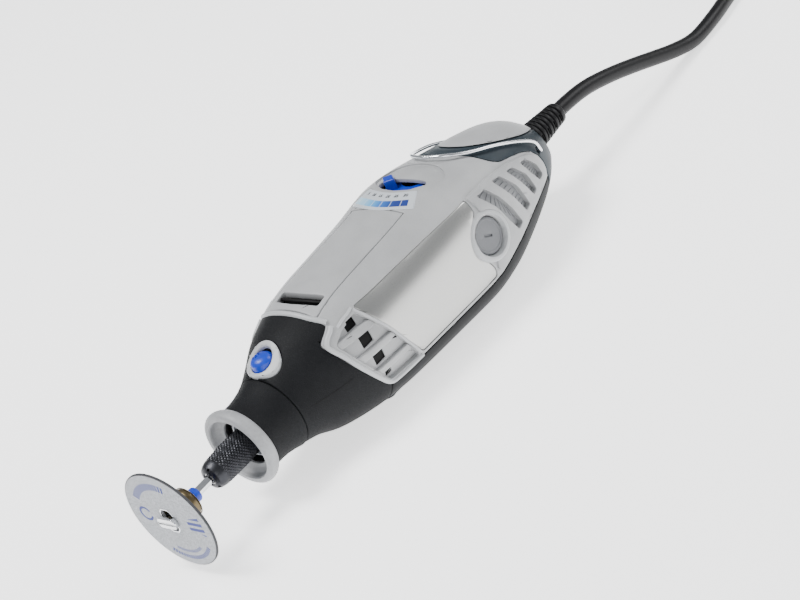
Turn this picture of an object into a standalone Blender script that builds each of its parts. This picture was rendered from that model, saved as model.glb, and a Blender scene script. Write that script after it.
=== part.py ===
"""Rotary hobby tool lying on its belly: clamshell body, motor, spindle, cutting disc and supply cord.

Lengths are in millimetres until the helpers turn them into metres. A station is a distance behind the
cutting disc's middle plane, measured along the tool's axis. Heights are measured from the tool's axis.
+X is the tool's right side, the nose points to -Y, and z = 0 is the surface the tool lies on.
"""
import math

import bmesh
import bpy
from mathutils import Matrix, Vector

MM = 0.001
GAP = 0.3                 # clearance between neighbouring pieces
AXIS_HEIGHT = 23.0        # tool axis above the surface it lies on
MIDDLE_STATION = 101.8    # station that becomes y = 0
WALL = 2.5                # housing wall thickness
RING_SIDES = 28
ROUND_SIDES = 20

# Body sections: station, half width, height above the axis, depth below it, squareness.
BODY_SECTIONS = (
    (52.0, 14.1, 14.3, 13.9, 2.0), (54.0, 14.5, 15.0, 14.2, 2.0), (60.0, 17.4, 18.2, 15.6, 2.0),
    (67.0, 20.5, 22.0, 18.8, 2.1), (75.0, 23.0, 24.2, 20.8, 2.2), (84.0, 25.0, 25.7, 21.9, 2.4),
    (94.0, 26.1, 26.2, 22.5, 2.6), (106.0, 26.7, 26.5, 22.9, 2.7), (126.0, 27.6, 27.4, 23.2, 2.8),
    (141.0, 28.2, 29.2, 23.6, 2.8), (148.0, 28.1, 28.9, 23.5, 2.8), (156.0, 27.3, 27.9, 23.0, 2.7),
    (164.0, 26.0, 26.4, 22.0, 2.6), (174.0, 23.5, 24.5, 19.9, 2.5), (183.0, 21.1, 22.9, 17.5, 2.4),
    (193.0, 17.9, 20.4, 14.7, 2.2), (200.0, 14.6, 16.8, 12.4, 2.0), (206.0, 10.4, 11.4, 9.6, 2.0),
)

TOP_SEAM_X = 12.5         # the top cover's long seams
COVER_END = 126.0         # rear edge of the top cover
SPLIT_HEIGHT = -11.0      # seam between the upper and lower housings
BUTTON_STATION = 59.0     # spindle lock button
DIAL_STATION = 153.0      # vertical axis of the speed dial
DIAL_RADIUS = 12.5
DIAL_REST = -40.0         # degrees from straight ahead to the pointer at rest
BRUSH_STATION = 147.4
BRUSH_TILT = math.radians(10.0)
SHANK_RADIUS = 1.6
DISC_RADIUS = 19.0
BAIL_PIVOT = (17.2, 195.6, 7.0)   # x, station and height of the hanger's right pivot

CORD_RADIUS = 3.0
CORD_EXIT_HEIGHT = 2.2             # where the cord leaves the tail, above the tool's axis
COIL_RADIUS = 33.0
COIL_THICKNESS = 18.0
COIL_CENTRE = (-14.0, 422.0)      # x and station
COIL_HEIGHT = 9.9                 # middle of the turns above the surface, leaving room for the tie
TIE_ANGLE = math.radians(60)
PLUG_WIDTH = 26.0
PLUG_THICKNESS = 13.0

parts = bpy.data.collections.new("rotary_hobby_tool")
cutters = bpy.data.collections.new("cutters")


def clear_scene():
    for old in list(bpy.data.objects):
        bpy.data.objects.remove(old, do_unlink=True)
    bpy.context.scene.collection.children.link(parts)
    bpy.context.scene.collection.children.link(cutters)


def at(x, station, height):
    """World place of a point given in the tool's own measures."""
    return Vector((x, station - MIDDLE_STATION, height + AXIS_HEIGHT)) * MM


def material(name, colour, roughness, metallic=0.0):
    found = bpy.data.materials.get(name)
    if found:
        return found
    made = bpy.data.materials.new(name)
    made.use_nodes = True
    shader = made.node_tree.nodes["Principled BSDF"]
    shader.inputs["Base Color"].default_value = (*colour, 1.0)
    shader.inputs["Roughness"].default_value = roughness
    shader.inputs["Metallic"].default_value = metallic
    return made


def finish(obj, name, look, collection=parts):
    obj.name = name
    obj.data.name = name
    for holder in list(obj.users_collection):
        holder.objects.unlink(obj)
    collection.objects.link(obj)
    if look:
        obj.data.materials.clear()
        obj.data.materials.append(material(name, *look))
        obj.data.shade_smooth()
        obj.data.set_sharp_from_angle(angle=math.radians(35))
    else:
        obj.hide_render = True
        obj.display_type = "WIRE"
    return obj


def new_object(name, mesh, look):
    return finish(bpy.data.objects.new(name, mesh), name, look, parts if look else cutters)


def boolean(obj, cutter, operation="DIFFERENCE"):
    modifier = obj.modifiers.new(cutter.name, "BOOLEAN")
    modifier.operation = operation
    modifier.object = cutter
    modifier.solver = "EXACT"
    return obj


def apply_modifiers(obj):
    """Turn an object and its modifiers, or a curve, into a plain welded mesh."""
    bpy.context.view_layer.update()
    evaluated = obj.evaluated_get(bpy.context.evaluated_depsgraph_get())
    mesh = bpy.data.meshes.new_from_object(evaluated)
    shape = bmesh.new()
    shape.from_mesh(mesh)
    bmesh.ops.remove_doubles(shape, verts=shape.verts, dist=0.000002)
    shape.to_mesh(mesh)
    shape.free()
    return mesh


# ---------------------------------------------------------------- shapes

def turned(name, profile, look, place=(0, 0, 0), axis="Y", sides=ROUND_SIDES):
    """Round piece from (radius, distance along the axis) points, listed round the section."""
    area = 0.0
    for (r0, a0), (r1, a1) in zip(profile, profile[1:] + profile[:1]):
        area += r0 * a1 - r1 * a0
    points = list(profile) if area < 0 else list(reversed(profile))
    closed = min(r for r, _ in points) > 0
    if not closed:
        while points[0][0] > 0 or points[-1][0] > 0:
            points = points[1:] + points[:1]
    mesh = bpy.data.meshes.new(name)
    edges = [(i, i + 1) for i in range(len(points) - 1)]
    if closed:
        edges.append((len(points) - 1, 0))
    mesh.from_pydata([(r * MM, 0, a * MM) for r, a in points], edges, [])
    obj = new_object(name, mesh, look)
    screw = obj.modifiers.new("turn", "SCREW")
    screw.axis = "Z"
    screw.steps = sides
    screw.render_steps = sides
    screw.use_merge_vertices = True
    screw.merge_threshold = 0.00001
    obj.rotation_euler = {"Z": (0, 0, 0), "Y": (-math.pi / 2, 0, 0), "X": (0, math.pi / 2, 0)}[axis]
    x, station, height = place
    obj.location = at(x, station, height) if axis != "Y" else at(x, 0, height) + Vector((0, station, 0)) * MM
    return obj


def rod(name, radius, start, end, look, axis="Y", place=(0, 0, 0), sides=16):
    return turned(name, [(0, start), (radius, start), (radius, end), (0, end)], look, place, axis, sides)


def ring(name, inner, outer, start, end, look, axis="Y", place=(0, 0, 0), sides=ROUND_SIDES):
    return turned(name, [(inner, start), (outer, start), (outer, end), (inner, end)], look, place, axis,
                  sides)


def box(name, low, high, look):
    """Box between two corners, each given as x, station and height."""
    bpy.ops.mesh.primitive_cube_add(size=1)
    obj = bpy.context.object
    centre = [(a + b) / 2 for a, b in zip(low, high)]
    size = [(b - a) * MM for a, b in zip(low, high)]
    obj.data.transform(Matrix.Diagonal((*size, 1)))
    obj.location = at(*centre)
    return finish(obj, name, look, parts if look else cutters)


def flat_solid(name, outlines, low, high, look, plane="side"):
    """Flat outlines made solid between two levels. Side outlines hold (station, height) points and run
    from x = low to high, end outlines hold (x, height) and run along the axis, top outlines hold
    (x, station) and rise from low to high."""
    curve = bpy.data.curves.new(name, "CURVE")
    curve.dimensions = "2D"
    curve.fill_mode = "BOTH"
    curve.extrude = (high - low) / 2 * MM
    shift = {"side": (MIDDLE_STATION, 0), "end": (0, 0), "top": (0, MIDDLE_STATION)}[plane]
    for outline in outlines:
        spline = curve.splines.new("POLY")
        spline.points.add(len(outline) - 1)
        for point, (u, v) in zip(spline.points, outline):
            point.co = ((u - shift[0]) * MM, (v - shift[1]) * MM, 0, 1)
        spline.use_cyclic_u = True
    guide = bpy.data.objects.new(name + "_outline", curve)
    cutters.objects.link(guide)
    mesh = apply_modifiers(guide)
    bpy.data.objects.remove(guide)
    middle = (low + high) / 2
    obj = new_object(name, mesh, look)
    if plane == "side":
        obj.rotation_euler = (math.pi / 2, 0, math.pi / 2)
        obj.location = (middle * MM, 0, AXIS_HEIGHT * MM)
    elif plane == "end":
        obj.rotation_euler = (math.pi / 2, 0, 0)
        obj.location = (0, (middle - MIDDLE_STATION) * MM, AXIS_HEIGHT * MM)
    else:
        obj.location = (0, 0, (middle + AXIS_HEIGHT) * MM)
    return obj


def wire(name, points, radius, look, resolution=2, cyclic=False):
    """Tube of the given radius through world points."""
    curve = bpy.data.curves.new(name, "CURVE")
    curve.dimensions = "3D"
    curve.bevel_depth = radius * MM
    curve.bevel_resolution = resolution
    curve.use_fill_caps = not cyclic
    spline = curve.splines.new("POLY")
    spline.points.add(len(points) - 1)
    for point, place in zip(spline.points, points):
        point.co = (*place, 1)
    spline.use_cyclic_u = cyclic
    guide = bpy.data.objects.new(name + "_path", curve)
    cutters.objects.link(guide)
    mesh = apply_modifiers(guide)
    bpy.data.objects.remove(guide)
    return new_object(name, mesh, look)


def smooth_route(knots, spacing):
    """Points about one spacing apart on a Catmull-Rom curve through the knots."""
    ends = [knots[0] * 2 - knots[1]] + list(knots) + [knots[-1] * 2 - knots[-2]]
    route = []
    for a, b, c, d in zip(ends, ends[1:], ends[2:], ends[3:]):
        steps = max(1, round((c - b).length / spacing))
        for step in range(steps):
            t = step / steps
            route.append(0.5 * (2 * b + (c - a) * t + (2 * a - 5 * b + 4 * c - d) * t ** 2
                                + (3 * b - a - 3 * c + d) * t ** 3))
    return route + [knots[-1]]


def circle(radius, centre=(0, 0), sides=ROUND_SIDES, stretch=1.0):
    return [(centre[0] + radius * math.cos(math.tau * k / sides),
             centre[1] + radius * stretch * math.sin(math.tau * k / sides)) for k in range(sides)]


def grown(outline, margin):
    """Outline with every edge moved outwards by the margin."""
    area = sum(a[0] * b[1] - b[0] * a[1] for a, b in zip(outline, outline[1:] + outline[:1]))
    moved = []
    for before, here, after in zip(outline[-1:] + outline[:-1], outline, outline[1:] + outline[:1]):
        normals = []
        for start, end in ((before, here), (here, after)):
            along = Vector((end[0] - start[0], end[1] - start[1])).normalized()
            normals.append(Vector((along.y, -along.x)) * math.copysign(1, area))
        shift = (normals[0] + normals[1]) * margin / (1 + normals[0].dot(normals[1]))
        moved.append((here[0] + shift.x, here[1] + shift.y))
    return moved


# ---------------------------------------------------------------- body form

def section_at(station):
    """Half width, height, depth and squareness of the body, eased between the listed sections."""
    rows = BODY_SECTIONS
    last = len(rows) - 1
    i = max(0, min(last - 1, sum(1 for row in rows if row[0] <= station) - 1))
    before, here, there, after = rows[max(i - 1, 0)], rows[i], rows[i + 1], rows[min(i + 2, last)]
    step = there[0] - here[0]
    t = (station - here[0]) / step
    values = []
    for k in range(1, 5):
        slope_in = (there[k] - before[k]) / (there[0] - before[0]) * step
        slope_out = (after[k] - here[k]) / (after[0] - here[0]) * step
        values.append((2 * t ** 3 - 3 * t ** 2 + 1) * here[k] + (t ** 3 - 2 * t ** 2 + t) * slope_in
                      + (3 * t ** 2 - 2 * t ** 3) * there[k] + (t ** 3 - t ** 2) * slope_out)
    return values


def body_form(name, offset, start=52.0, end=206.0):
    """Closed loft of the outer form, swollen or shrunk by the offset."""
    stations = sorted({start} | {row[0] for row in BODY_SECTIONS if start < row[0] < end - 1}) + [end]
    shape = bmesh.new()
    rings = []
    for station in stations:
        width, height, depth, squareness = section_at(station)
        ring_verts = []
        for k in range(RING_SIDES):
            angle = math.tau * k / RING_SIDES
            s, c = math.sin(angle), math.cos(angle)
            rise = height if c > 0 else depth
            x = (width + offset) * math.copysign(abs(s) ** (2 / squareness), s)
            z = (rise + offset) * math.copysign(abs(c) ** (2 / squareness), c)
            ring_verts.append(shape.verts.new(at(x, station, max(z, -AXIS_HEIGHT - min(offset, 0)))))
        rings.append(ring_verts)
    for front, back in zip(rings, rings[1:]):
        for k in range(RING_SIDES):
            n = (k + 1) % RING_SIDES
            shape.faces.new((front[k], back[k], back[n], front[n]))
    shape.faces.new(rings[0])
    shape.faces.new(reversed(rings[-1]))
    bmesh.ops.remove_doubles(shape, verts=shape.verts, dist=0.000005)
    bmesh.ops.recalc_face_normals(shape, faces=shape.faces)
    mesh = bpy.data.meshes.new(name)
    shape.to_mesh(mesh)
    shape.free()
    return new_object(name, mesh, None)


def body_piece(name, region, hollow, look, outer, *cuts):
    """The part of a form inside a region, less the hollow and any further cutters."""
    obj = new_object(name, outer.data.copy(), look)
    boolean(obj, region, "INTERSECT")
    boolean(obj, hollow)
    for cutter in cuts:
        boolean(obj, cutter)
    return obj


# ---------------------------------------------------------------- colours: base colour, roughness, metallic

LIGHT_GREY = ((0.62, 0.63, 0.65), 0.45)
SOFT_BLACK = ((0.03, 0.032, 0.036), 0.6)
SLATE = ((0.09, 0.12, 0.14), 0.5)
SILVER = ((0.72, 0.73, 0.72), 0.3, 0.6)
BLUE = ((0.03, 0.12, 0.72), 0.4)
STEEL = ((0.6, 0.6, 0.6), 0.3, 1.0)
BLACK_STEEL = ((0.05, 0.05, 0.055), 0.4, 0.8)
CHROME = ((0.8, 0.8, 0.8), 0.1, 1.0)
BRASS = ((0.5, 0.4, 0.2), 0.3, 1.0)
COPPER = ((0.7, 0.35, 0.2), 0.35, 1.0)
CARBON = ((0.04, 0.04, 0.04), 0.7)
CORD_BLACK = ((0.02, 0.02, 0.02), 0.5)
BOARD_GREEN = ((0.05, 0.25, 0.12), 0.5)
DISC_GREY = ((0.7, 0.71, 0.72), 0.7)


# ---------------------------------------------------------------- seams in the side view

def band_front(gap=0.0):
    """Lower front edge of the slate tail cap, from the crown of the back down to the side."""
    return [(157.2 - gap, 40.0), (157.2 - gap, 30.2), (197.4 - gap, -2.0)]


def band_back(gap=0.0):
    """Edge between the tail cap and the grey tail cover."""
    return [(160.4 + gap, 40.0), (160.4 + gap, 29.4), (178.0 + gap, 21.6 + gap), (195.4, 13.6 + gap)]


def nose_back(gap=0.0):
    """Rear edge of the black nose: a tongue on top, then a slanting edge down the side."""
    return [(76.6 + gap, 40.0), (76.6 + gap, 21.4), (74.6 + gap, 18.2), (70.6 + gap, 15.6),
            (83.0 + gap, -9.4), (85.0 + gap, SPLIT_HEIGHT)]


def housings():
    outer = body_form("outer_form", 0.0)
    hollow = body_form("inner_form", -WALL, 51.0, 203.5)
    pocket_floor = body_form("pocket_form", -1.4)
    plate_floor = body_form("plate_form", -1.1)
    raised = body_form("raised_form", 0.8)
    relief_hole = rod("relief_hole", 6.2, 198, 210, None, place=(0, 0, CORD_EXIT_HEIGHT))

    nose_region = flat_solid("nose_region", [[(53.3, 40), (53.3, -40), (85, -40)] + nose_back()[::-1]],
                             -40, 40, None)
    upper_region = flat_solid("upper_region", [nose_back(GAP)[:-1] + [(85.3, SPLIT_HEIGHT),
                                                                      (150, SPLIT_HEIGHT)]
                                               + band_front()[::-1]], -40, 40, None)
    lower_region = flat_solid("lower_region", [[(85.3, SPLIT_HEIGHT - GAP), (85.3, -40), (197.4, -40),
                                                (197.4, -2.0 - GAP), (150, SPLIT_HEIGHT - GAP)]], -40, 40,
                                                None)
    tail_region = flat_solid("tail_region", [[(157.5, 40), (157.5, 30.0), (197.7, -2.0), (197.7, -40),
                                              (212, -40),
                                              (212, 40), (195.7, 40)] + band_back()[::-1][:-1]
                                             + [(160.4, 40)]], -40, 40, None)
    cover_region = flat_solid("cover_region", [[(76.9, 40), (76.9, 10), (COVER_END, 10), (COVER_END, 40)]],
                              -TOP_SEAM_X, TOP_SEAM_X, None)
    cover_space = flat_solid("cover_space", [[(60, 40), (60, 10), (COVER_END + GAP, 10),
                                              (COVER_END + GAP, 40)]],
                             -TOP_SEAM_X - GAP, TOP_SEAM_X + GAP, None)
    hump_region = flat_solid("hump_region", [band_back(GAP)[:-1] + [(195.4, 13.6 + GAP), (195.4, 40)]],
                             -40, 40, None)

    # Lens-shaped bezel for the lock button, its seat, and the button's own hole.
    bezel_outline = flat_solid("bezel_outline", [circle(7.4, (0, BUTTON_STATION), 28, 0.7)], 8, 30, None,
                               "top")
    bezel_seat = flat_solid("bezel_seat", [circle(7.7, (0, BUTTON_STATION), 28, 0.71)], 8, 30, None, "top")
    boolean(bezel_seat, pocket_floor)
    button_hole = rod("button_hole", 4.4, 8, 30, None, "Z", (0, BUTTON_STATION, 0))
    flange_space = rod("flange_space", 5.4, 9.0, 12.7, None, "Z", (0, BUTTON_STATION, 0))
    body_piece("nose_housing", nose_region, hollow, SOFT_BLACK, outer, bezel_seat, button_hole, flange_space)
    bezel = body_piece("lock_bezel", bezel_outline, body_form("bezel_floor", -1.1), LIGHT_GREY, raised)
    boolean(bezel, button_hole)

    # Silver side plates lie in shallow seats, one on each side.
    plate_edge = [(88.2, 19.0), (147.6, 19.0), (147.6, 14.2), (141.2, 9.6), (139.6, 4.8), (141.2, -0.4),
                  (145.6, -4.4), (142.4, -9.4), (101.2, -9.4), (97.6, 0.0), (93.3, 9.0)]
    plate_seat = flat_solid("plate_seat", [grown(plate_edge, GAP)], -40, 40, None)
    boolean(plate_seat, body_form("seat_floor", -1.4))
    for side, low, high in (("right", 14, 40), ("left", -40, -14)):
        region = flat_solid("plate_region_" + side, [plate_edge], low, high, None)
        body_piece("side_plate_" + side, region, plate_floor, SILVER, outer)

    # Front outlet recess with square holes, rear inlet slots, brush cap hole.
    recess_edge = [(84.6, 18.0), (74.6, 14.6), (83.6, -6.0), (86.2, -9.2), (99.0, -9.2), (95.2, 1.0),
                   (90.4, 10.6)]
    recess = flat_solid("outlet_recess", [recess_edge], -40, 40, None)
    boolean(recess, pocket_floor)
    outlets = []
    for number, (station, height) in enumerate(((83.6, 15.2), (84.2, 9.2), (84.8, 3.2), (86.2, -2.8)), 1):
        outlets.append(box("outlet_%d" % number, (-40, station - 1.8, height - 1.8),
                           (40, station + 1.8, height + 1.8), None))
    inlets = []
    for number, (top, bottom) in enumerate((((156.5, 15.0), (165.0, -4.0)), ((165.5, 13.6), (173.5, -3.4)),
                                            ((174.5, 10.6), (181.5, -2.6))), 1):
        slot = [(top[0] - 1.2, top[1]), (bottom[0] - 1.2, bottom[1]), (bottom[0] + 1.2, bottom[1]),
                (top[0] + 1.2, top[1])]
        inlets.append(flat_solid("inlet_%d" % number, [slot], -40, 40, None))
    cap_holes = [rod("cap_hole_" + side, 7.6, 20.0, 40.0, None) for side in ("right", "left")]
    for hole, sign in zip(cap_holes, (1, -1)):
        tilt_to_brush(hole, sign)

    # Arc slot for the dial's pointer, with a finger hollow behind it, and the scale's seat.
    arc = [dial_point(angle, 12.3) for angle in range(-60, 61, 15)]
    arc += [dial_point(angle, 7.7) for angle in range(60, -61, -15)]
    pointer_slot = flat_solid("pointer_slot", [arc], 20, 40, None, "top")
    finger_hollow = flat_solid("finger_hollow", [circle(9.5, (0, 149.0), 24, 0.62)], 20, 40, None, "top")
    boolean(finger_hollow, pocket_floor)
    seat = flat_solid("scale_seat", [scale_outline(GAP)], 20, 40, None, "top")
    boolean(seat, body_form("scale_floor", -0.9))
    label_region = flat_solid("label_region", [scale_outline(0.0)], 20, 40, None, "top")
    body_piece("scale_label", label_region, body_form("label_floor", -0.6), BLUE, outer)

    body_piece("upper_housing", upper_region, hollow, LIGHT_GREY, outer, cover_space, plate_seat, recess,
               *outlets, *inlets, *cap_holes, pointer_slot, finger_hollow, seat)
    top_vent = flat_solid("top_vent", [[(80.2, 40), (80.2, 10), (85.0, 10), (85.0, 40)]], -9.6, 9.6, None)
    body_piece("top_cover", cover_region, hollow, LIGHT_GREY, outer, top_vent)
    screw_holes = []
    for number, (x, station) in enumerate(SCREW_PLACES, 1):
        seat_height = screw_seat(x, station)
        screw_holes.append(turned("screw_hole_%d" % number, [(0, -40), (3.3, -40), (3.3, seat_height),
                                                             (1.7, seat_height),
                                                             (1.7, -12), (0, -12)], None, (x, station, 0),
                                                             "Z", 12))
    body_piece("lower_housing", lower_region, hollow, SOFT_BLACK, outer, *screw_holes)
    tail = body_piece("tail_cap", tail_region, hollow, SLATE, outer, relief_hole)
    boolean(tail, bail_bore())
    body_piece("tail_cover", hump_region, hollow, LIGHT_GREY, outer)


def scale_outline(margin):
    """Top view of the speed scale: an arc band ahead of the dial's slot."""
    outline = []
    for radius, reach in ((25.3 + margin, 25 + 4 * margin), (17.3 - margin, -37 - 4 * margin)):
        outline += [dial_point(reach * step / 3, radius) for step in range(-3, 4)]
    return outline


def dial_point(angle, radius):
    """Top-view place at an angle from straight ahead of the dial's axis."""
    turn = math.radians(angle)
    return (radius * math.sin(turn), DIAL_STATION - radius * math.cos(turn))


# ---------------------------------------------------------------- brushes

def tilt_to_brush(obj, sign):
    """Lay a piece turned about Y along the brush axis on one side. Its distances start at the spindle."""
    direction = Vector((sign * math.cos(BRUSH_TILT), 0, math.sin(BRUSH_TILT)))
    obj.rotation_euler = Vector((0, 0, 1)).rotation_difference(direction).to_euler()
    obj.location = at(0, BRUSH_STATION, 0)
    return obj


def brushes():
    for side, sign in (("right", 1), ("left", -1)):
        cap = turned("brush_cap_" + side, [(0, 24.6), (7.2, 24.6), (7.2, 28.2), (6.6, 28.7), (0, 28.7)],
                     LIGHT_GREY)
        slot = box("cap_slot_" + side, (-1.6, 0, 0), (1.6, 0.7, 1), None)
        slot.data.transform(Matrix.Translation((0, 0, 28.9 * MM)))
        boolean(tilt_to_brush(cap, sign), tilt_to_brush(slot, sign))
        tilt_to_brush(ring("brush_holder_" + side, 3.9, 5.4, 10.4, 24.2, BRASS, sides=20), sign)
        bpy.ops.mesh.primitive_cube_add(size=1)
        brush = finish(bpy.context.object, "carbon_brush_" + side, CARBON)
        brush.data.transform(Matrix.Diagonal((4.8 * MM, 4.8 * MM, 8.0 * MM, 1)))
        brush.data.transform(Matrix.Translation((0, 0, 13.1 * MM)))
        tilt_to_brush(brush, sign)
        turns, length, steps = 4, 6.4, 32
        coil = [Vector((2.4 * math.cos(math.tau * turns * k / steps),
                        2.4 * math.sin(math.tau * turns * k / steps),
                        17.6 + length * k / steps)) * MM for k in range(steps + 1)]
        tilt_to_brush(wire("brush_spring_" + side, coil, 0.3, STEEL, 0), sign)


# ---------------------------------------------------------------- motor

def motor():
    bore, slot_half, slot_out, outer = 11.9, 6.0, 17.6, 19.2
    corner = math.degrees(math.asin(slot_half / bore))
    inside = []
    for side in (0, 180):
        for angle in range(0, 91, 15):
            turn = math.radians(side + corner + (180 - 2 * corner) * angle / 90)
            inside.append((bore * math.cos(turn), bore * math.sin(turn)))
        sign = -1 if side == 0 else 1
        inside += [(sign * slot_out, -sign * slot_half), (sign * slot_out, sign * slot_half)]
    flat_solid("stator_core", [circle(outer, sides=40), inside], 92, 128, STEEL, "end")
    for name, sign in (("field_coil_upper", 1), ("field_coil_lower", -1)):
        path = []
        for angle in range(12, 169, 12):
            turn = math.radians(angle)
            path.append(at(15 * math.cos(turn), 88.4, sign * 15 * math.sin(turn)))
        back = [p + Vector((0, 43.2 * MM, 0)) for p in reversed(path)]
        wire(name, path + back, 2.6, COPPER, 2, True)

    teeth = 12
    core_outline = []
    for tooth in range(teeth):
        for part, radius in ((-0.36, 11.4), (0.36, 11.4), (0.42, 7.6), (0.58, 7.6)):
            turn = math.tau * (tooth + part) / teeth
            core_outline.append((radius * math.cos(turn), radius * math.sin(turn)))
    flat_solid("armature_core", [core_outline, circle(4.3, sides=20)], 92, 128, STEEL, "end")
    for name, start, end in (("armature_winding_front", 86.2, 91.6), ("armature_winding_rear", 128.4,
                                                                      134.2)):
        turned(name, [(4.3, start), (8.6, start), (10.3, start + 1.6), (10.3, end - 1.2), (9.4, end),
                      (4.3, end)],
               COPPER)
    ring("commutator", 4.3, 8.5, 141.0, 153.6, COPPER)

    shaft = turned("armature_shaft", [(2.6, 26.0), (3.7, 26.0), (3.7, 42.6), (4.8, 42.6), (4.8, 44.6),
                                      (4.0, 44.6),
                                      (4.0, 52.8), (6.4, 52.8), (6.4, 65.2), (4.0, 65.2), (4.0, 157.0),
                                      (3.0, 157.6),
                                      (3.0, 166.0), (0, 166.0), (0, 42.0), (2.6, 42.0)], STEEL)
    for name, axis, place in (("lock_bore_upright", "Z", (0, BUTTON_STATION, 0)),
                              ("lock_bore_across", "X", (0, BUTTON_STATION, 0))):
        boolean(shaft, rod(name, 1.9, -8, 8, None, axis, place, 16))
    ring("front_bearing", 4.3, 8.0, 44.9, 51.8, STEEL)
    ring("rear_bearing", 3.3, 6.5, 158.4, 163.6, STEEL)
    bracket = [(-18, -12.4), (18, -12.4), (18, 10), (13, 15), (-13, 15), (-18, 10)]
    flat_solid("bearing_bracket", [bracket, circle(6.8, sides=24)], 158.2, 163.8, SOFT_BLACK, "end")

    blades = 9
    fan_outline = []
    for blade in range(blades):
        base = math.tau * blade / blades
        for sweep, radius in ((-0.5, 7.0), (-0.12, 7.0), (0.10, 16.4), (0.20, 16.4), (0.10, 7.0)):
            turn = base + sweep * math.tau / blades * 1.4
            fan_outline.append((radius * math.cos(turn), radius * math.sin(turn)))
    fan = flat_solid("fan", [fan_outline, circle(4.3, sides=20)], 70.0, 78.0, SOFT_BLACK, "end")
    boolean(fan, ring("fan_disc", 5.0, 16.8, 77.0, 78.6, None), "UNION")

    box("speed_board", (-11, 167, -12.2), (11, 181, -10.6), BOARD_GREEN)
    box("switch_module", (-9, 146.5, 12.6), (9, 157.8, 20.8), SOFT_BLACK)


# ---------------------------------------------------------------- nose and spindle

def nose():
    collar = turned("nose_collar", [(6.9, 40.3), (7.9, 40.3), (7.9, 43.0), (9.9, 43.0), (9.9, 53.6),
                                    (11.2, 53.6),
                                    (11.2, 56.0), (9.9, 56.0), (9.9, 64.4), (8.3, 64.4), (8.3, 44.6),
                                    (6.9, 44.6)],
                    CHROME)
    boolean(collar, rod("collar_pin_hole", 1.9, 5, 12, None, "Z", (0, BUTTON_STATION, 0), 16))
    boolean(collar, rod("collar_flange_pocket", 5.5, 9.0, 16, None, "Z", (0, BUTTON_STATION, 0), 20))
    turned("nose_cap", [(8.9, 39.1), (12.9, 39.1), (12.6, 43.5), (12.9, 47.0), (14.2, 53.0), (10.2, 53.0),
                        (10.2, 41.1), (8.9, 41.1)], SOFT_BLACK, sides=40)
    turned("nose_ring", [(12.2, 33.9), (13.6, 33.9), (14.5, 34.6), (14.7, 35.8), (14.5, 37.2), (13.4, 38.8),
                         (8.9, 38.8), (8.9, 37.8), (11.3, 36.2), (11.7, 34.6)], LIGHT_GREY, sides=40)

    dome = [(0, 19.8), (1.6, 19.7), (3.0, 19.2), (4.0, 18.2)]
    turned("lock_button", dome + [(4.0, 12.4), (5.0, 12.4), (5.0, 11.4), (3.1, 11.4), (3.1, 17.3),
                                  (0, 17.3)],
           BLUE, (0, BUTTON_STATION, 0), "Z", 28)
    rod("lock_pin", 1.5, 6.95, 17.0, STEEL, "Z", (0, BUTTON_STATION, 0), 16)
    turns, low, high, steps = 4, 9.6, 16.7, 32
    coil = []
    for k in range(steps + 1):
        turn = math.tau * turns * k / steps
        coil.append(at(2.3 * math.cos(turn), BUTTON_STATION + 2.3 * math.sin(turn),
                       low + (high - low) * k / steps))
    wire("lock_spring", coil, 0.28, STEEL, 0)

    turned("collet_nut", [(2.2, 19.5), (2.6, 19.5), (4.3, 20.1), (5.2, 23.6), (5.2, 40.5), (4.8, 41.6),
                          (4.1, 41.6),
                          (4.1, 25.6), (3.7, 25.6), (3.7, 21.9), (2.2, 21.9)], BLACK_STEEL)
    turned("collet", [(1.9, 22.3), (2.7, 22.3), (3.3, 23.2), (3.3, 24.8), (2.3, 25.8), (2.3, 38.0),
                      (1.9, 38.0)], STEEL)
    rod("mandrel_shank", SHANK_RADIUS, 1.0, 37.0, CHROME)
    turned("mandrel_stop", [(1.9, 8.4), (2.7, 8.4), (2.7, 12.4), (2.4, 12.8), (1.9, 12.8)], BLUE)
    turned("mandrel_sleeve", [(1.9, 0.9), (5.6, 0.9), (5.6, 1.9), (4.2, 2.8), (4.1, 5.4), (5.3, 7.0),
                              (5.3, 8.6),
                              (4.8, 9.4), (3.0, 9.4), (3.0, 5.3), (1.9, 5.3)], BRASS)
    slot = []
    for x, z in ((4.4, 1.5), (3.0, 2.6), (-3.0, 2.6), (-4.4, 1.5), (-4.4, -1.5), (-3.0, -2.6), (3.0, -2.6),
                 (4.4, -1.5)):
        slot.append((z, x))
    flat_solid("cutting_disc", [circle(DISC_RADIUS, sides=56), slot], -0.5, 0.5, DISC_GREY, "end")
    head = [(4.2, 1.0), (3.4, 2.0), (-3.4, 2.0), (-4.2, 1.0), (-4.2, -1.0), (-3.4, -2.0), (3.4, -2.0),
            (4.2, -1.0)]
    head_piece = flat_solid("mandrel_head", [head], -2.4, -0.8, CHROME, "end")
    boolean(head_piece, rod("head_neck", 1.5, -1.0, 0.7, None), "UNION")


# ---------------------------------------------------------------- dial, hanger, screws

def dial():
    sector = [dial_point(angle, DIAL_RADIUS) for angle in range(-62, 63, 10)]
    sector += [dial_point(110, 4.0), dial_point(180, 4.0), dial_point(250, 4.0)]
    plate = flat_solid("speed_dial", [sector], 21.2, 22.8, BLUE, "top")
    pointer = [dial_point(DIAL_REST - 13, 11.8), dial_point(DIAL_REST + 7, 11.8), dial_point(DIAL_REST + 16,
                                                                                             8.2),
               dial_point(DIAL_REST - 16, 8.2)]
    boolean(plate, flat_solid("pointer", [pointer], 22.0, 30.6, None, "top"), "UNION")
    hinge = Vector((0, DIAL_STATION - MIDDLE_STATION, AXIS_HEIGHT + 22)) * MM
    plate.data.transform(Matrix.Translation(plate.location - hinge))
    plate.location = hinge


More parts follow.
